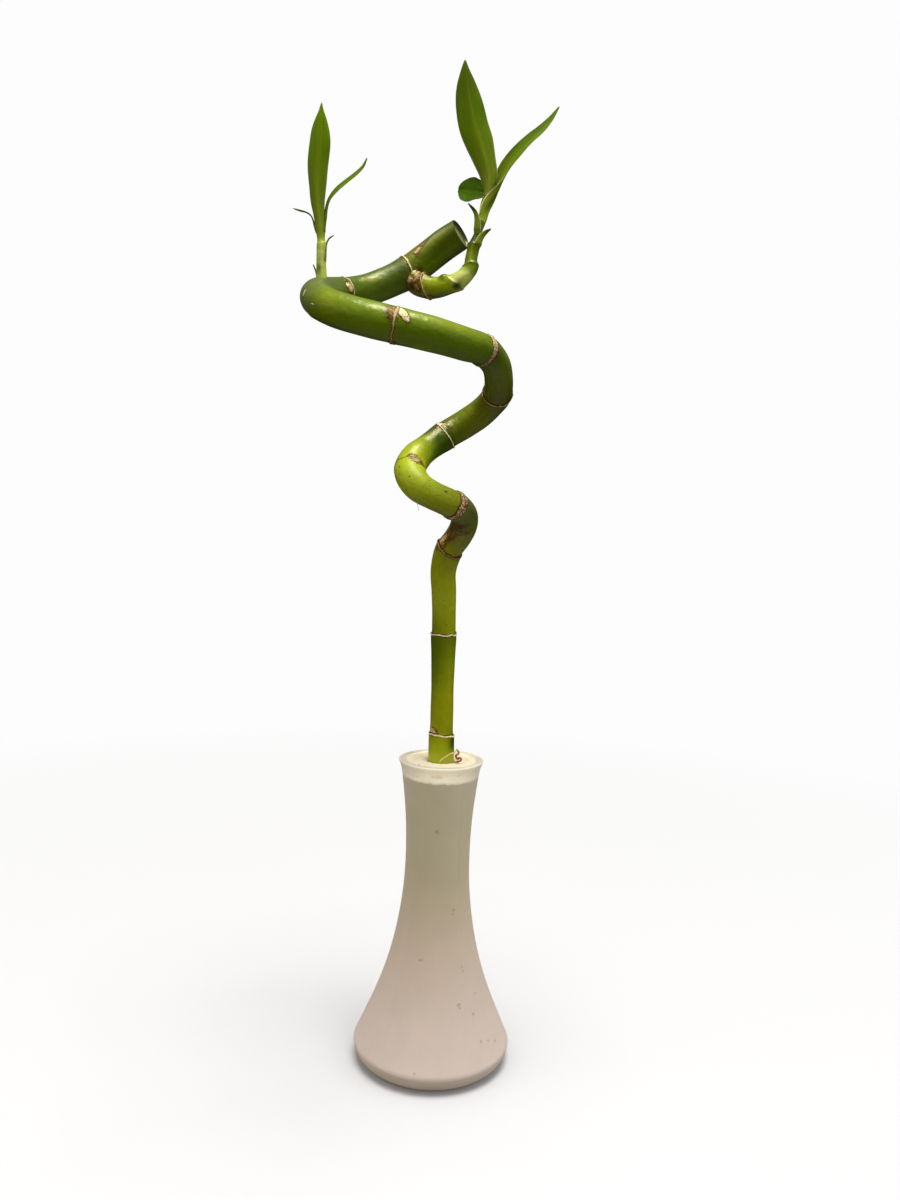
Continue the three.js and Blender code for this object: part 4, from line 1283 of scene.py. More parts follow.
def glass_material(settings):
    """Frosted milky glass, warm below, with a greener neck painted in as shade for the cane seen through it,
    and with a fine grain, scuffs and specks.

    The pale plug that shows through it at the top is painted into its colour as a band. A painted glow stands
    for the light that the plug sends out and for the light that passes through the wall where it is seen edge
    on.
    """
    material, tree, shader = new_material("Frosted Glass", {
        "IOR": 1.45, "Transmission Weight": settings.clearness, "Specular IOR Level": 0.4,
        "Emission Strength": 1.0,
    })
    metres = add_node(tree, "ShaderNodeTexCoord").outputs["Object"]
    place = add_node(tree, "ShaderNodeVectorMath", {0: metres, "Scale": 1 / MM}, operation="SCALE")
    place = place.outputs["Vector"]
    height = add_node(tree, "ShaderNodeSeparateXYZ", {0: place}).outputs["Z"]
    # Glass colour with the painted shade of the cane and the plug seen through it
    seen_through_tone = glass_and_see_through_colour(tree, height, noise(tree, place, 0.05, 2.0))
    ragged = noise(tree, place, 0.45, 3.0, 0.6)
    clouds = noise(tree, place, 0.11, 3.0, 0.6)
    grain = noise(tree, place, 2.4, 3.0, 0.7)

    # Painted plug: where the plug shows through the frosted wall, a pale band is laid into the colour
    low_edge = math_node(tree, "SUBTRACT", height, map_range(tree, ragged, 0.3, 0.7, *BAND_START))
    top_edge = math_node(tree, "SUBTRACT", BAND_END, height)
    behind = math_node(tree, "MULTIPLY", map_range(tree, low_edge, -1.1, 0.9, 0, 1),
                       map_range(tree, top_edge, 0, 0.3, 0, 1))
    with_painted_plug = mix_colour(tree, behind, seen_through_tone, PAINTED_PLUG_BAND)
    # Painted glow: light from the plug seen head on, brighter along the band's lower line, and light through
    # the wall at the vase's outline
    facing = add_node(tree, "ShaderNodeLayerWeight", {"Blend": 0.5}).outputs["Facing"]
    head_on = math_node(tree, "POWER", math_node(tree, "SUBTRACT", 1.0, facing), 1.5)
    seen_front = math_node(tree, "MULTIPLY", behind, head_on)
    passing = mix_colour(tree, math_node(tree, "POWER", facing, 2.0), (0, 0, 0), OUTLINE_GLOW)
    low_line = math_node(tree, "MULTIPLY", seen_front, map_range(tree, low_edge, 0.5, 1.2, 1, 0))
    glow = mix_colour(tree, low_line, mix_colour(tree, seen_front, passing, PLUG_GLOW), PLUG_LINE_GLOW)

    cloudy = mix_colour(tree, map_range(tree, clouds, 0.35, 0.7, 0, 0.4), with_painted_plug,
                        (0.9, 0.9, 0.92), "MULTIPLY")
    grainy = mix_colour(tree, map_range(tree, grain, 0.3, 0.75, 0, 0.3), cloudy,
                        (0.8, 0.8, 0.82), "MULTIPLY")
    smears = noise(tree, vector_node(tree, "MULTIPLY", place, (0.35, 0.35, 1.6)), 0.8, 3.0, 0.6)
    smeared = mix_colour(tree, math_node(tree, "MULTIPLY", map_range(tree, smears, 0.58, 0.7, 0, 0.4),
                                         behind), grainy, (0.5, 0.38, 0.22))
    dots = group_node(tree, specks(), {"Vector": place, "Scale": 0.1, "Size": 0.06, "Share": 0.3})
    dotted = mix_colour(tree, map_range(tree, dots.outputs[0], 0, 1, 0, 0.5), smeared, (0.3, 0.2, 0.12))
    placed = math_node(tree, "MULTIPLY", speck_mask(tree, shaken_place(tree, place), GLASS_SPECKS), 0.45)
    rough = map_range(tree, grain, 0.3, 0.7, settings.frost - 0.05, settings.frost + 0.1)
    finish_material(tree, shader, {
        "Base Color": mix_colour(tree, placed, dotted, (0.28, 0.18, 0.11)),
        "Roughness": rough, "Emission Color": glow,
    }, (0.08, 0.05 * MM, grain))
    return material


def foam_material(settings):
    """Cream open foam with pores, a few dark crumbs and a brown smear."""
    material, tree, shader = new_material("Plug Foam", {"Specular IOR Level": 0.2, "Roughness": 0.92})
    place = add_node(tree, "ShaderNodeTexCoord").outputs["Object"]
    pores = add_node(tree, "ShaderNodeTexVoronoi", {"Vector": place, "Scale": 1300.0}).outputs[0]
    clouds = noise(tree, place, 180.0, 3.0, 0.6)
    base = mix_colour(tree, map_range(tree, pores, 0.1, 0.55, 0.3, 0), settings.foam_colour,
                      (0.62, 0.48, 0.28))
    stained = mix_colour(tree, map_range(tree, clouds, 0.52, 0.72, 0, 0.35), base, (0.66, 0.5, 0.28))
    dots = group_node(tree, specks(), {"Vector": place, "Scale": 330.0, "Size": 0.2, "Share": 0.1})
    dotted = mix_colour(tree, map_range(tree, dots.outputs[0], 0, 1, 0, 0.85), stained, (0.1, 0.06, 0.03))
    finish_material(tree, shader, {"Base Color": dotted}, (0.6, 0.2 * MM, pores))
    return material


def root_material(name):
    """Matt root, mottled between its two colours, with a fibrous relief."""
    material, tree, shader = new_material(name, {"Roughness": 0.62, "Specular IOR Level": 0.35})
    light, dark = ROOT_COLOURS[name]
    place = add_node(tree, "ShaderNodeTexCoord").outputs["Object"]
    mottle = noise(tree, place, 900.0, 3.0, 0.6)
    grain = noise(tree, place, 4200.0, 2.0, 0.6)
    colour = mix_colour(tree, map_range(tree, mottle, 0.38, 0.66, 0, 1), light, dark)
    finish_material(tree, shader, {"Base Color": colour}, (0.5, 0.1 * MM, grain))
    return material


def shared_material(name, maker, *values):
    """The named material, made once."""
    return bpy.data.materials.get(name) or maker(*values)


# Cane

def plain_skin(count):
    """Skin fields without a ring or a scar: ring distance, half width and ribs; edges; scar depth."""
    return {
        "ring": np.tile((FAR_AWAY, 0.1, 0.0), (count, 1)),
        "edge": np.zeros((count, 3)),
        "paper": np.full(count, -FAR_AWAY),
        "paper_tint": np.tile(PAPER, (count, 1)),
        "wax": np.full(count, SATIN),
    }


def store_skin(mesh, tint, skin, marks, angles, away):
    """Stores what the rind's material reads: tint, skin fields and the place on a straightened stem."""
    radians = np.radians(angles)
    store(mesh, "tint", tint)
    store(mesh, "straight", np.column_stack([away * np.cos(radians), away * np.sin(radians), marks]))
    for name, values in skin.items():
        store(mesh, name, values)


def cane_marks(route, settings):
    """Marks of the cane's sections, closer together near the rings and the sawn top."""
    fine = settings.ring_step / MM
    coarse = settings.cane_step / MM
    near_ring = 4.5
    near_top = 2
    marks = [0.0]
    while marks[-1] < route.length - fine:
        nearest = min(abs(marks[-1] - shape["mark"]) for shape in CANE_RINGS)
        is_close = nearest < near_ring or route.length - marks[-1] < near_top
        marks.append(marks[-1] + (fine if is_close else coarse))
    marks[-1] = route.length
    return np.array(marks)


def ring_relief(shape, away, angles):
    """Height in mm of a ring's swelling, ridge and grooves at signed distances from its line."""
    swelling = shape["swell"] * np.where(
        away < 0, np.exp(-((away / shape["reach"]) ** 2)), bell(away, 1.2))
    uneven = 1 + 0.3 * wobble(angles, shape["seed"] + 50, 3, 16)
    ridge = shape["ridge"] * uneven * bell(away, max(shape["half"], 0.3) * 1.7)
    groove = -0.4 * shape["ridge"] * bell(np.abs(away) - shape["half"] - 0.35, 0.45)
    return swelling + ridge + groove


def skin_look(marks, angles, radius, look):
    """Height, tint and skin fields of the cane or of a stem at marks and angles."""
    stops = np.array([mark for mark, _ in look["tones"]], float)
    tones = np.array([colour for _, colour in look["tones"]])
    tint = np.stack([np.interp(marks, stops, tones[:, k]) for k in range(3)], axis=1)
    # A grown stem is never quite round or straight
    height = 0.05 * wobble(angles, 3, 2, 6) * np.sin(marks * 0.13) + 0.04 * np.sin(marks * 0.37)
    # Tint patches; a few of the cane's are painted highlights and painted shade
    for shape in look["tints"]:
        mask = patch_mask(shape, marks, angles, radius)
        tint = painted(tint, shape["colour"], mask)
        height = height + shape["height"] * mask
    skin = plain_skin(len(marks))
    wax_marks, wax = zip(*look["wax"])
    skin["wax"] = np.interp(marks, wax_marks, wax)
    for shape in look["scars"]:
        field = patch_field(shape, marks, angles, radius)
        depth = field / shape["ragged"]
        nearer = depth > skin["paper"]
        skin["paper"] = np.where(nearer, depth, skin["paper"])
        skin["paper_tint"][nearer] = shape["colour"]
        height = height + shape["height"] * rise(field, 0.5)
    for shape in look["rings"]:
        away = ring_distance(shape, marks, angles)
        height = height + ring_relief(shape, away, angles)
        nearer = np.abs(away) < np.abs(skin["ring"][:, 0])
        uneven = 1 + 0.12 * wobble(angles, shape["seed"] + 70, 2, 12)
        broad_angle, broad_width, broad = shape["broad"]
        half = shape["half"] * uneven + broad * bell(turned(angles, broad_angle), broad_width * 2)
        values = np.column_stack([away, half, np.full(len(marks), shape["ribs"])])
        skin["ring"][nearer] = values[nearer]
        skin["edge"][nearer] = (shape["above"], shape["below"], shape["cream"])
    return height, tint, skin


def rind_tube(name, route, marks, sides, look):
    """A cane or stem with its relief, and the marks, angles, radii, tints and skin of its points."""
    piece = swept_piece(name, [route.strand(marks)], sides, shared_material("Cane Rind", rind_material))
    points = mesh_points(piece.data)
    marks = read(piece.data, "mark")
    angles, away = route.angles(marks, points)
    height, tint, skin = skin_look(marks, angles, route.sizes(marks, 3) / 2, look)
    outward = (points - route.vectors(marks, route.line)) / np.maximum(away, TINY)[:, None]
    set_mesh_points(piece.data, points + outward * height[:, None])
    return piece, marks, angles, away, tint, skin


def sawn_face(mesh):
    """Replaces the cane's top cap by rings of faces that sink into it."""
    work = bmesh.new()
    work.from_mesh(mesh)
    work.faces.ensure_lookup_table()
    caps = [face for face in work.faces if len(face.verts) > 8]
    cap = max(caps, key=lambda face: face.calc_center_median().z)
    centre = cap.calc_center_median()
    normal = cap.normal.copy()
    material = cap.material_index
    edge = list(cap.verts)
    bmesh.ops.delete(work, geom=[cap], context="FACES_ONLY")
    outer = edge
    for share, sink in SAWN_STEPS:
        inner = [
            work.verts.new(centre + (vertex.co - centre) * share - normal * sink * MM)
            for vertex in edge
        ]
        for k, vertex in enumerate(outer):
            following = (k + 1) % len(outer)
            face = work.faces.new((vertex, outer[following], inner[following], inner[k]))
            face.material_index = material
            face.smooth = True
        outer = inner
    face = work.faces.new(outer)
    face.material_index = material
    work.to_mesh(mesh)
    work.free()


def sawn_tint(share, angles):
    """Colours of the sawn face at shares of its radius and at angles."""
    tint = np.tile(SAWN_WOOD, (len(share), 1))
    tint = painted(tint, SAWN_PALE, bell(share - 0.76, 0.18) * bell(turned(angles, 20), 110))
    tint = painted(tint, NIGHT, rise(share - 0.6, 0.3) * bell(turned(angles, 200), 130) * 0.9)
    return painted(tint, SAWN_RIM, rise(share - 0.92, 0.06))


def build_cane(settings):
    """The spiral cane from its foot in the vase to its sawn top."""
    route = Route(CANE_ROUTE)
    piece, marks, angles, away, tint, skin = rind_tube(
        "spiral_cane", route, cane_marks(route, settings), settings.cane_sides, CANE_LOOK)
    mesh = piece.data
    count = len(mesh.vertices)
    sawn_face(mesh)
    points = mesh_points(mesh)
    extra = len(points) - count
    marks = np.concatenate([marks, np.full(extra, route.length)])
    angles, away = route.angles(marks, points)
    face_tint = sawn_tint(away[count:] / away[count:].max(), angles[count:])
    for name, values in plain_skin(extra).items():
        skin[name] = np.concatenate([skin[name], values])
    store_skin(mesh, np.vstack([tint, face_tint]), skin, marks, angles, away)
    hand_over(piece, "cane", "stalk")


def build_hairs():
    """The fine hairs that hang from the lowest coil."""
    strands = []
    for rows in CANE_HAIRS:
        route = Route(rows)
        strands.append(route.strand(np.linspace(0, route.length, HAIR_SECTIONS)))
    material = shared_material("Fine Hair", root_material, "Fine Hair")
    hand_over(swept_piece("cane_hairs", strands, HAIR_SIDES, material), "brown_root")


# Shoots

def stem_piece(name, node, rows, look):
    """A shoot stem swept along its route, with the steps where its sheaths end."""
    route = Route(rows)
    marks = np.linspace(0, route.length, int(route.length / STEM_STEP))
    piece, marks, angles, away, tint, skin = rind_tube(name, route, marks, STEM_SIDES, look)
    store_skin(piece.data, tint, skin, marks + STEM_PATTERN_START, angles, away)
    hand_over(piece, "shoot", node)


def build_stems():
    """The stems that carry the two shoots."""
    stem_piece("left_shoot_sheath", "left_shoot_stem", LEFT_STEM_ROUTE, LEFT_STEM_LOOK)
    stem_piece("right_shoot_sheath", "right_shoot_stem", RIGHT_STEM_ROUTE, RIGHT_STEM_LOOK)


def settle(points, along, seat):
    """Draws the base of a leaf onto the stem or sheath that it grows from, so that it has no step."""
    hold = np.clip(1 - along / SEATED_SHARE, 0, 1) ** 1.5
    flat = points.reshape(-1, 3)
    skip = 12
    distances = np.linalg.norm(flat[:, None] - seat.line[None, ::skip], axis=2)
    marks = seat.lengths[::skip][np.argmin(distances, axis=1)]
    centre = seat.vectors(marks, seat.line)
    tangent = seat.vectors(marks, seat.tangents)
    away = flat - centre
    away -= tangent * np.einsum("ij,ij->i", away, tangent)[:, None]
    reach = np.maximum(np.linalg.norm(away, axis=1), TINY)
    target = seat.sizes(marks, 3) / 2 + SEAT_CLEARANCE
    shift = away / reach[:, None] * (target - reach)[:, None]
    return points + shift.reshape(points.shape) * hold[:, None, None]


def blade_faces(rows, columns):
    """Faces of a blade whose rows run round it: its back, its inner side and its two ends."""
    count = 2 * columns
    faces = []
    for row in range(rows - 1):
        for k in range(count):
            near = row * count + k
            following = row * count + (k + 1) % count
            faces.append((near, following, following + count, near + count))
    last = (rows - 1) * count
    for k in range(columns - 1):
        far = count - 1 - k
        faces.append((k, far, far - 1, k + 1))
        faces.append((last + k, last + k + 1, last + far - 1, last + far))
    return faces


def leaf_surface(leaf, rows, columns, thickness, seat):
    """Points of a leaf, a thin blade bowed across its midrib, with their shares across and along."""
    route = Route(leaf["stations"])
    marks = np.linspace(0, route.length, rows)
    midrib = route.vectors(marks, route.line)
    tangents = route.vectors(marks, route.tangents)
    ways = np.array(leaf["inward"], float)
    ways /= np.linalg.norm(ways, axis=1)[:, None]
    along = route.shares(marks)
    steps = np.linspace(0, 1, len(ways))
    facing = np.stack([np.interp(along, steps, ways[:, k]) for k in range(3)], axis=1)
    facing -= tangents * np.einsum("ij,ij->i", facing, tangents)[:, None]
    facing /= np.linalg.norm(facing, axis=1)[:, None]
    side = np.cross(tangents, facing)
    width = np.maximum(route.sizes(marks, 3), 0.3)
    wrap = np.radians(np.maximum(route.sizes(marks, 4), 12))
    radius = width / wrap
    hub = midrib + facing * radius[:, None]
    across = np.sin(np.linspace(-1, 1, columns) * np.pi / 2)
    share = np.concatenate([across[::-1], across])
    layer = np.concatenate([np.ones(columns), -np.ones(columns)])
    slim = np.minimum(1, width / (2 * thickness))
    half = thickness / 2 * slim[:, None] * np.sqrt(np.maximum(1 - MARGIN_THINNING * share**2, 0))[None, :]
    broad = np.minimum(1, width / 6)[:, None]
    fold = LEAF_FOLD * broad * bell(share, 0.16)[None, :]
    ripple = LEAF_RIPPLE * np.sin(marks * 0.45 + 1)[:, None] * (np.abs(share) ** 3)[None, :]
    ripple = ripple * np.sign(share)[None, :] * broad
    reach = radius[:, None] + half * layer[None, :] + fold + ripple
    angle = wrap[:, None] / 2 * share[None, :]
    points = (hub[:, None] - facing[:, None] * (reach * np.cos(angle))[:, :, None]
              + side[:, None] * (reach * np.sin(angle))[:, :, None])
    if seat:
        points = settle(points, along, Route(seat))
    count = len(share)
    return points.reshape(-1, 3), np.tile(share, rows), np.repeat(along, count), np.repeat(marks, count)


def leaf_tint(name, across, along, settings):
    """Colours of a leaf: its sheath, its blade, its margins, its tip, and on the narrow right leaf a painted
    shadow.
    """
    blade = np.array(settings.leaf_colour)
    sheath = np.array(settings.sheath_colour)
    tint = np.tile(blade, (len(across), 1))
    if name in SHEATH_SHARES:
        tint = painted(tint, sheath, rise(SHEATH_SHARES[name] - along, 0.35) * 0.85)
        tint = painted(tint, YELLOW, bell(across, 0.3) * rise(0.45 - along, 0.5) * 0.35)
        edge = rise(np.abs(across) - 0.93, 0.06) * rise(0.4 - along, 0.2)
        tint = painted(tint, CREAM, edge * 0.7)
    if name in LEAF_SHADES:
        places, strengths = zip(*LEAF_SHADES[name])
        tint = tint * np.interp(along, places, strengths)[:, None]
    if name == "right_leaf_narrow":
        # Painted shadow on the side of the narrow leaf's sheath that lies in shade
        shadow = bell(across - 0.4, 0.2) * rise(0.33 - along, 0.08) * rise(along - 0.1, 0.08)
        tint = painted(tint, NIGHT, shadow * 0.8)
    if name == "right_leaf_round":
        tint = painted(tint, (0.052, 0.14, 0.0), np.full(len(across), 0.85))
    if name == "left_leaf_dry":
        tint = painted(tint, (0.12, 0.12, 0.02), rise(along - 0.85, 0.15))
    if "bract" in name or "scale" in name:
        tint = painted(tint, sheath, rise(0.6 - along, 0.4) * 0.5)
        tint = painted(tint, NIGHT, rise(along - 0.7, 0.3) * 0.8)
        tint = painted(tint, CREAM, rise(np.abs(across) - 0.9, 0.08) * rise(0.7 - along, 0.2) * 0.5)
    tip = rise(along - 0.97, 0.03)
    return painted(tint, (0.2, 0.16, 0.03), tip * 0.5)


def build_leaves(settings):
    """The leaves, bracts and scales, each a piece of its own."""
    material = shared_material("Leaf Blade", leaf_material)
    for name, leaf in LEAVES.items():
        length = Route(leaf["stations"]).length
        rows = max(24, int(settings.leaf_rows * length / LONGEST_LEAF))
        points, across, along, marks = leaf_surface(
            leaf, rows, LEAF_COLUMNS, settings.leaf_thickness / MM, LEAF_SEATS.get(name))
        mesh = bpy.data.meshes.new(name + "_blade")
        mesh.from_pydata((points * MM).tolist(), [], blade_faces(rows, LEAF_COLUMNS))
        store(mesh, "tint", leaf_tint(name, across, along, settings))
        widest = max(station[3] for station in leaf["stations"])
        store(mesh, "blade", np.column_stack([across * widest / 2, np.zeros(len(across)), marks]))
        piece = new_piece(name + "_blade", mesh, material)
        hand_over(piece, "leaf", name)


# Roots, plug and vase

def build_roots():
    """The two roots on the plug, and the roots under the cane's foot with their fine hairs."""
    for name, rows in ROOTS.items():
        is_brown = name == "plug_root_brown"
        finish = "Brown Root" if is_brown else "Pale Root"
        material = shared_material(finish, root_material, finish)
        route = Route(rows)
        marks = np.linspace(0, route.length, max(20, int(route.length / ROOT_STEP)))
        sway = ROOT_SWAY * np.sin(marks * 2.1)[:, None] * route.vectors(marks, route.normals)
        sway = sway + ROOT_SWAY * np.cos(marks * 1.3)[:, None] * route.vectors(marks, route.sides)
        knobbly = route.sizes(marks, 3) * (1 + ROOT_SWELLING * np.sin(marks * 3.7))
        strand = (marks, route.vectors(marks, route.line) + sway, knobbly)
        piece = swept_piece(name + "_strand", [strand], ROOT_SIDES, material)
        if name.startswith("foot"):
            tuft = run_tree(name + "_tuft", piece.data, hair_tree(), {**ROOT_HAIRS, "Finish": material})
            bpy.data.objects.remove(piece)
            piece = tuft
        hand_over(piece, "brown_root" if is_brown else "pale_root", name)


def plug_outline():
    """Closed outline: out along the bottom, up the taper, in over the top and down the hole."""
    side_top = PLUG_TOP - PLUG_EDGE
    outline = [(PLUG_HOLE_RADIUS, PLUG_BOTTOM)]
    outline += [(radius, PLUG_BOTTOM) for radius in np.linspace(PLUG_HOLE_RADIUS + 1, PLUG_BOTTOM_RADIUS, 8)]
    for share in np.linspace(0.1, 1, 12):
        outline.append((PLUG_BOTTOM_RADIUS + (PLUG_TOP_RADIUS - PLUG_BOTTOM_RADIUS) * share,
                        PLUG_BOTTOM + (side_top - PLUG_BOTTOM) * share))
    outline += [(PLUG_TOP_RADIUS - 0.2, PLUG_TOP - 0.2), (PLUG_TOP_RADIUS - PLUG_EDGE, PLUG_TOP)]
    outline += [(radius, PLUG_TOP) for radius in np.linspace(PLUG_TOP_RADIUS - 1, PLUG_HOLE_RADIUS + 0.5, 26)]
    outline += [(PLUG_HOLE_RADIUS + 0.15, PLUG_TOP - 0.15), (PLUG_HOLE_RADIUS, side_top)]
    outline += [(PLUG_HOLE_RADIUS, height) for height in np.linspace(PLUG_TOP - 1.4, PLUG_BOTTOM, 8)]
    return outline


def build_plug(settings):
    """The foam plug, with a lumpy top that dips round the cane."""
    material = shared_material("Plug Foam", foam_material, settings)
    piece = turned_piece("foam_disc", plug_outline(), settings.segments, material)
    mesh = piece.data
    points = mesh_points(mesh)
    radius = np.hypot(points[:, 0], points[:, 1])
    angle = np.degrees(np.arctan2(points[:, 1], points[:, 0])) % 360
    on_top = rise(points[:, 2] - PLUG_TOP + 0.4, 0.3)
    lumps = 0.12 * np.sin(radius * 1.9 + 2 * wobble(angle, 21, 2, 9)) + 0.1 * wobble(angle, 22, 5, 24)
    points[:, 2] += on_top * (lumps * 0.8 - 0.35 * bell(radius - PLUG_HOLE_RADIUS, 1.6))
    set_mesh_points(mesh, points)
    hand_over(piece, "foam", "foam_plug")


def vase_outline():
    """Closed outline: out along the foot, round the heel, up the wall, over the rim and down inside."""
    wall = Route([(radius, 0, height) for radius, height in VASE_WALL_OUTLINE])
    outline = [(radius, 0) for radius in np.linspace(0, VASE_FOOT_RADIUS, 14)]
    for angle in np.linspace(0, math.pi / 2, 15)[1:-1]:
        outline.append((
            VASE_FOOT_RADIUS + (VASE_HEEL_RADIUS - VASE_FOOT_RADIUS) * math.sin(angle),
            VASE_HEEL_HEIGHT * (1 - math.cos(angle)),
        ))
    marks = np.linspace(0, wall.length, 110)
    places = wall.vectors(marks, wall.line)
    tangents = wall.vectors(marks, wall.tangents)
    outline += [(place[0], place[2]) for place in places]
    rim_middle = VASE_RIM_RADIUS - VASE_WALL / 2
    lip = 0.6
    for angle in np.linspace(0, math.pi, 13)[1:-1]:
        bend = math.copysign(abs(math.cos(angle)) ** 0.6, math.cos(angle))
        outline.append((rim_middle + VASE_WALL / 2 * bend, VASE_HEIGHT - lip + lip * math.sin(angle) ** 0.6))
    inside = [
        (place[0] - tangent[2] * VASE_WALL, place[2] + tangent[0] * VASE_WALL)
        for place, tangent in zip(places[::-1], tangents[::-1])
    ]
    outline += [spot for spot in inside if VASE_FLOOR + 1.5 < spot[1] < VASE_HEIGHT - lip]
    corner = VASE_HEEL_RADIUS - 2 * VASE_WALL
    outline += [(corner + 0.6, VASE_FLOOR + 0.7), (corner, VASE_FLOOR + 0.1)]
    outline += [(radius, VASE_FLOOR) for radius in np.linspace(corner - 1, 0, 14)]
    return outline


def build_vase(settings):
    """The vase, turned from its outline."""
    material = shared_material("Frosted Glass", glass_material, settings)
    piece = turned_piece("bud_vase", vase_outline(), settings.segments, material)
    hand_over(piece, "frosted_glass", "vase")


# Stage

def build_camera(settings):
    """A camera that sees the plant as a viewer in front of it does."""
    camera = new_object("camera", bpy.data.cameras.new("camera"))
    camera.data.lens = settings.lens
    camera.data.sensor_width = 36
    camera.data.clip_start = 0.01
    camera.data.clip_end = 200
    camera.matrix_world = (
        Matrix.Translation(Vector(settings.camera_place))
        @ Matrix.Rotation(math.pi / 2 - settings.camera_pitch, 4, "X")
        @ Matrix.Rotation(settings.camera_roll, 4, "Z")
    )
    bpy.context.scene.camera = camera


def build_soft_light(name, towards, strength, size, colour, mirrored=True):
    """A large square light in a direction from the plant. The strength is what it sheds on the plant.

    A light that isn't mirrored leaves no highlight on the plant.
    """
    way = Vector(towards).normalized()
    light = bpy.data.lights.new(name, "AREA")
    light.size = size
    light.energy = strength * math.pi * LIGHT_DISTANCE**2
    light.color = colour
    lamp = new_object(name, light)
    lamp.location = way * LIGHT_DISTANCE + Vector(PLANT_MIDDLE)
    lamp.rotation_euler = way.to_track_quat("Z", "Y").to_euler()
    lamp.visible_camera = False
    lamp.visible_glossy = mirrored


def build_world(settings):
    """A pale backdrop for the camera, and for everything else light that comes mostly from above."""
    world = bpy.data.worlds.new("studio")
    world.use_nodes = True
    tree = world.node_tree
    background = tree.nodes["Background"]
    path = add_node(tree, "ShaderNodeLightPath")
    way = add_node(tree, "ShaderNodeTexCoord").outputs["Generated"]
    upward = add_node(tree, "ShaderNodeSeparateXYZ", {0: way}).outputs["Z"]
    light = map_range(tree, upward, -0.4, 0.6, settings.ground, settings.sky)
    light = math_node(tree, "MULTIPLY", light, map_range(tree, path.outputs["Is Glossy Ray"], 0, 1, 1, 0.25))
    strength = mix_number(tree, path.outputs["Is Camera Ray"], light, BACKDROP)
    tree.links.new(strength, background.inputs["Strength"])
    tree.links.new(
        mix_colour(tree, path.outputs["Is Camera Ray"], (1, 0.96, 0.88), (1, 1, 1)),
        background.inputs["Color"])
    bpy.context.scene.world = world


def build_floor():
    """A large pale floor that fades into the backdrop and throws back little light."""
    mesh = bpy.data.meshes.new("studio_floor")
    work = bmesh.new()
    bmesh.ops.create_circle(work, cap_ends=True, segments=96, radius=FLOOR_RADIUS)
    work.to_mesh(mesh)
    work.free()
    material, tree, shader = new_material("Studio Floor", {
        "Roughness": 0.8, "Specular IOR Level": 0.0, "Emission Strength": 1.0,
    })
    seen = add_node(tree, "ShaderNodeLightPath").outputs["Is Camera Ray"]
    place = add_node(tree, "ShaderNodeTexCoord").outputs["Object"]
    far = add_node(tree, "ShaderNodeVectorMath", {0: place}, operation="LENGTH").outputs["Value"]
    fade = map_range(tree, far, 0.1, 0.7, 0, 1)
    near = mix_colour(tree, seen, (0.16, 0.15, 0.135), (0.58, 0.592, 0.63))
    tree.links.new(mix_colour(tree, fade, near, (0, 0, 0)), shader.inputs["Base Color"])
    glow = math_node(tree, "MULTIPLY", math_node(tree, "MULTIPLY", fade, seen), BACKDROP)
    tree.links.new(glow, shader.inputs["Emission Color"])
    mesh.materials.append(material)
    floor = new_object("studio_floor", mesh)


class BAMBOO_OT_stage(bpy.types.Operator):
    """Set up the camera, the lights, the backdrop and the pale floor"""

    bl_idname = "lucky_bamboo.stage"
    bl_label = "Stage"

    def execute(self, context):
        settings = context.scene.bamboo_stage
        build_camera(settings)
        build_world(settings)
        build_soft_light("key_light", (0.05, -0.15, 0.95), settings.key, 1.3, (1, 0.98, 0.92))
        build_soft_light("left_fill", (-0.9, -0.6, 0.4), settings.left_fill, 3, (1, 0.92, 0.8), False)
        build_soft_light("right_fill", (0.9, -0.6, 0.35), settings.right_fill, 3, (1, 0.97, 0.93), False)
        build_floor()
        context.scene.view_settings.view_transform = "Standard"
        return {"FINISHED"}


class BAMBOO_OT_vase(bpy.types.Operator):
    """Build the frosted glass vase"""

    bl_idname = "lucky_bamboo.vase"
    bl_label = "Vase"

    def execute(self, context):
        build_vase(context.scene.bamboo_vase)
        return {"FINISHED"}


class BAMBOO_OT_plug(bpy.types.Operator):
    """Build the foam plug in the vase's mouth"""

    bl_idname = "lucky_bamboo.plug"
    bl_label = "Foam plug"

    def execute(self, context):
        build_plug(context.scene.bamboo_vase)
        return {"FINISHED"}


class BAMBOO_OT_cane(bpy.types.Operator):
    """Build the ringed spiral cane and its fine hairs"""

    bl_idname = "lucky_bamboo.cane"
    bl_label = "Cane"

    def execute(self, context):
        build_cane(context.scene.bamboo_plant)
        build_hairs()
        return {"FINISHED"}


class BAMBOO_OT_stems(bpy.types.Operator):
    """Build the stems of the two shoots"""

    bl_idname = "lucky_bamboo.stems"
    bl_label = "Shoot stems"

    def execute(self, context):
        build_stems()
        return {"FINISHED"}


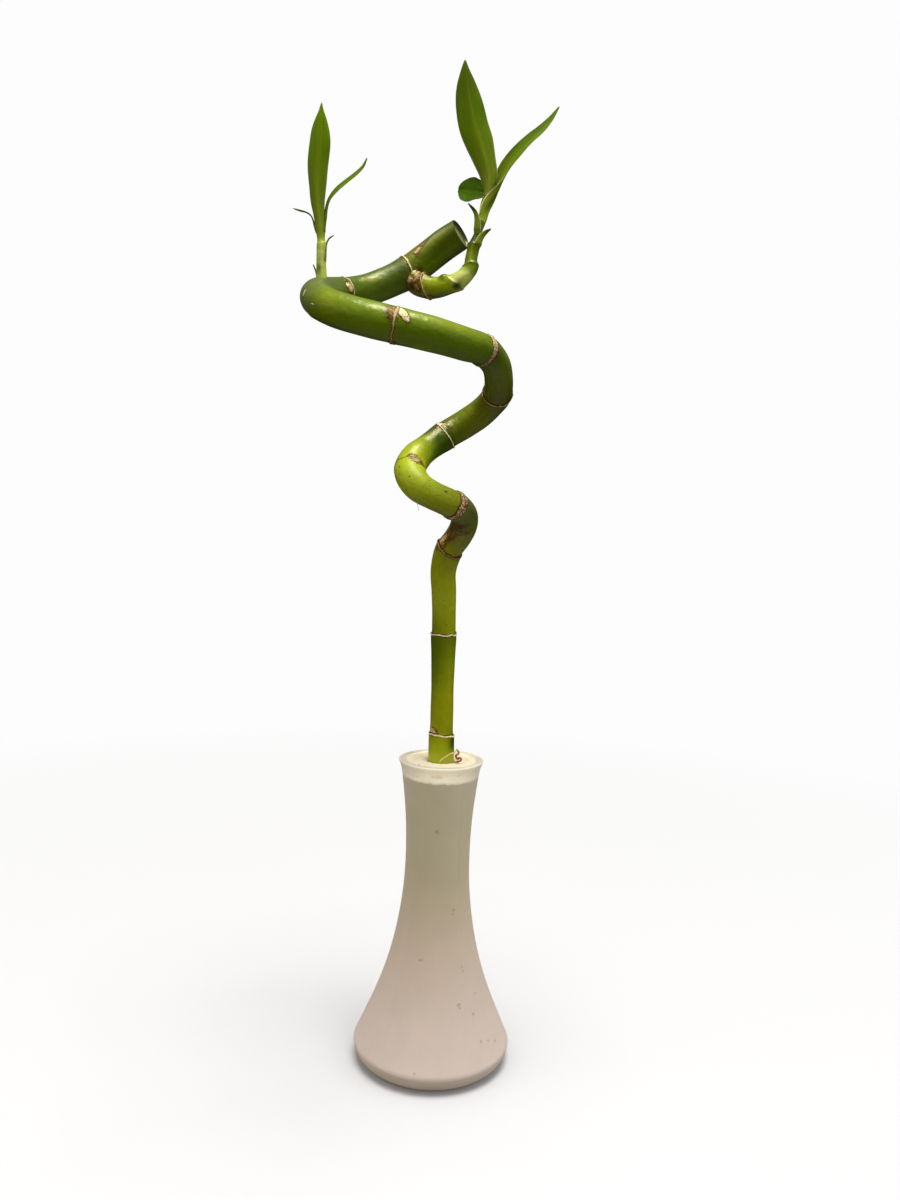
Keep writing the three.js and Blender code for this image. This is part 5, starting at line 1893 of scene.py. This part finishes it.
class BAMBOO_OT_leaves(bpy.types.Operator):
    """Build the leaves, bracts and scales of both shoots"""

    bl_idname = "lucky_bamboo.leaves"
    bl_label = "Leaves"

    def execute(self, context):
        build_leaves(context.scene.bamboo_plant)
        return {"FINISHED"}


class BAMBOO_OT_roots(bpy.types.Operator):
    """Build the roots on the plug and under the cane's foot"""

    bl_idname = "lucky_bamboo.roots"
    bl_label = "Roots"

    def execute(self, context):
        build_roots()
        return {"FINISHED"}


OPERATORS = (
    BAMBOO_OT_stage, BAMBOO_OT_vase, BAMBOO_OT_plug, BAMBOO_OT_cane, BAMBOO_OT_stems,
    BAMBOO_OT_leaves, BAMBOO_OT_roots,
)
SETTINGS = {
    "bamboo_plant": PlantSettings,
    "bamboo_vase": VaseSettings,
    "bamboo_stage": StageSettings,
}


class BAMBOO_PT_panel(bpy.types.Panel):
    """Buttons and sizes in the sidebar"""

    bl_idname = "BAMBOO_PT_panel"
    bl_label = "Lucky Bamboo"
    bl_space_type = "VIEW_3D"
    bl_region_type = "UI"
    bl_category = "Lucky Bamboo"

    def draw(self, context):
        for operator in OPERATORS:
            self.layout.operator(operator.bl_idname)
        for name, group in SETTINGS.items():
            box = self.layout.box()
            for label in group.__annotations__:
                box.prop(getattr(context.scene, name), label)


def register():
    """Makes the settings, the operators and the panel known to Blender."""
    for group in SETTINGS.values():
        bpy.utils.register_class(group)
    for name, group in SETTINGS.items():
        setattr(bpy.types.Scene, name, PointerProperty(type=group))
    for operator in OPERATORS:
        bpy.utils.register_class(operator)
    bpy.utils.register_class(BAMBOO_PT_panel)


def unregister():
    """Takes back all that register did."""
    bpy.utils.unregister_class(BAMBOO_PT_panel)
    for operator in reversed(OPERATORS):
        bpy.utils.unregister_class(operator)
    for name, group in SETTINGS.items():
        delattr(bpy.types.Scene, name)
        bpy.utils.unregister_class(group)


def main():
    """Builds the stage and every piece."""
    register()
    for operator in OPERATORS:
        space, name = operator.bl_idname.split(".")
        getattr(getattr(bpy.ops, space), name)()


if __name__ == "__main__":
    main()
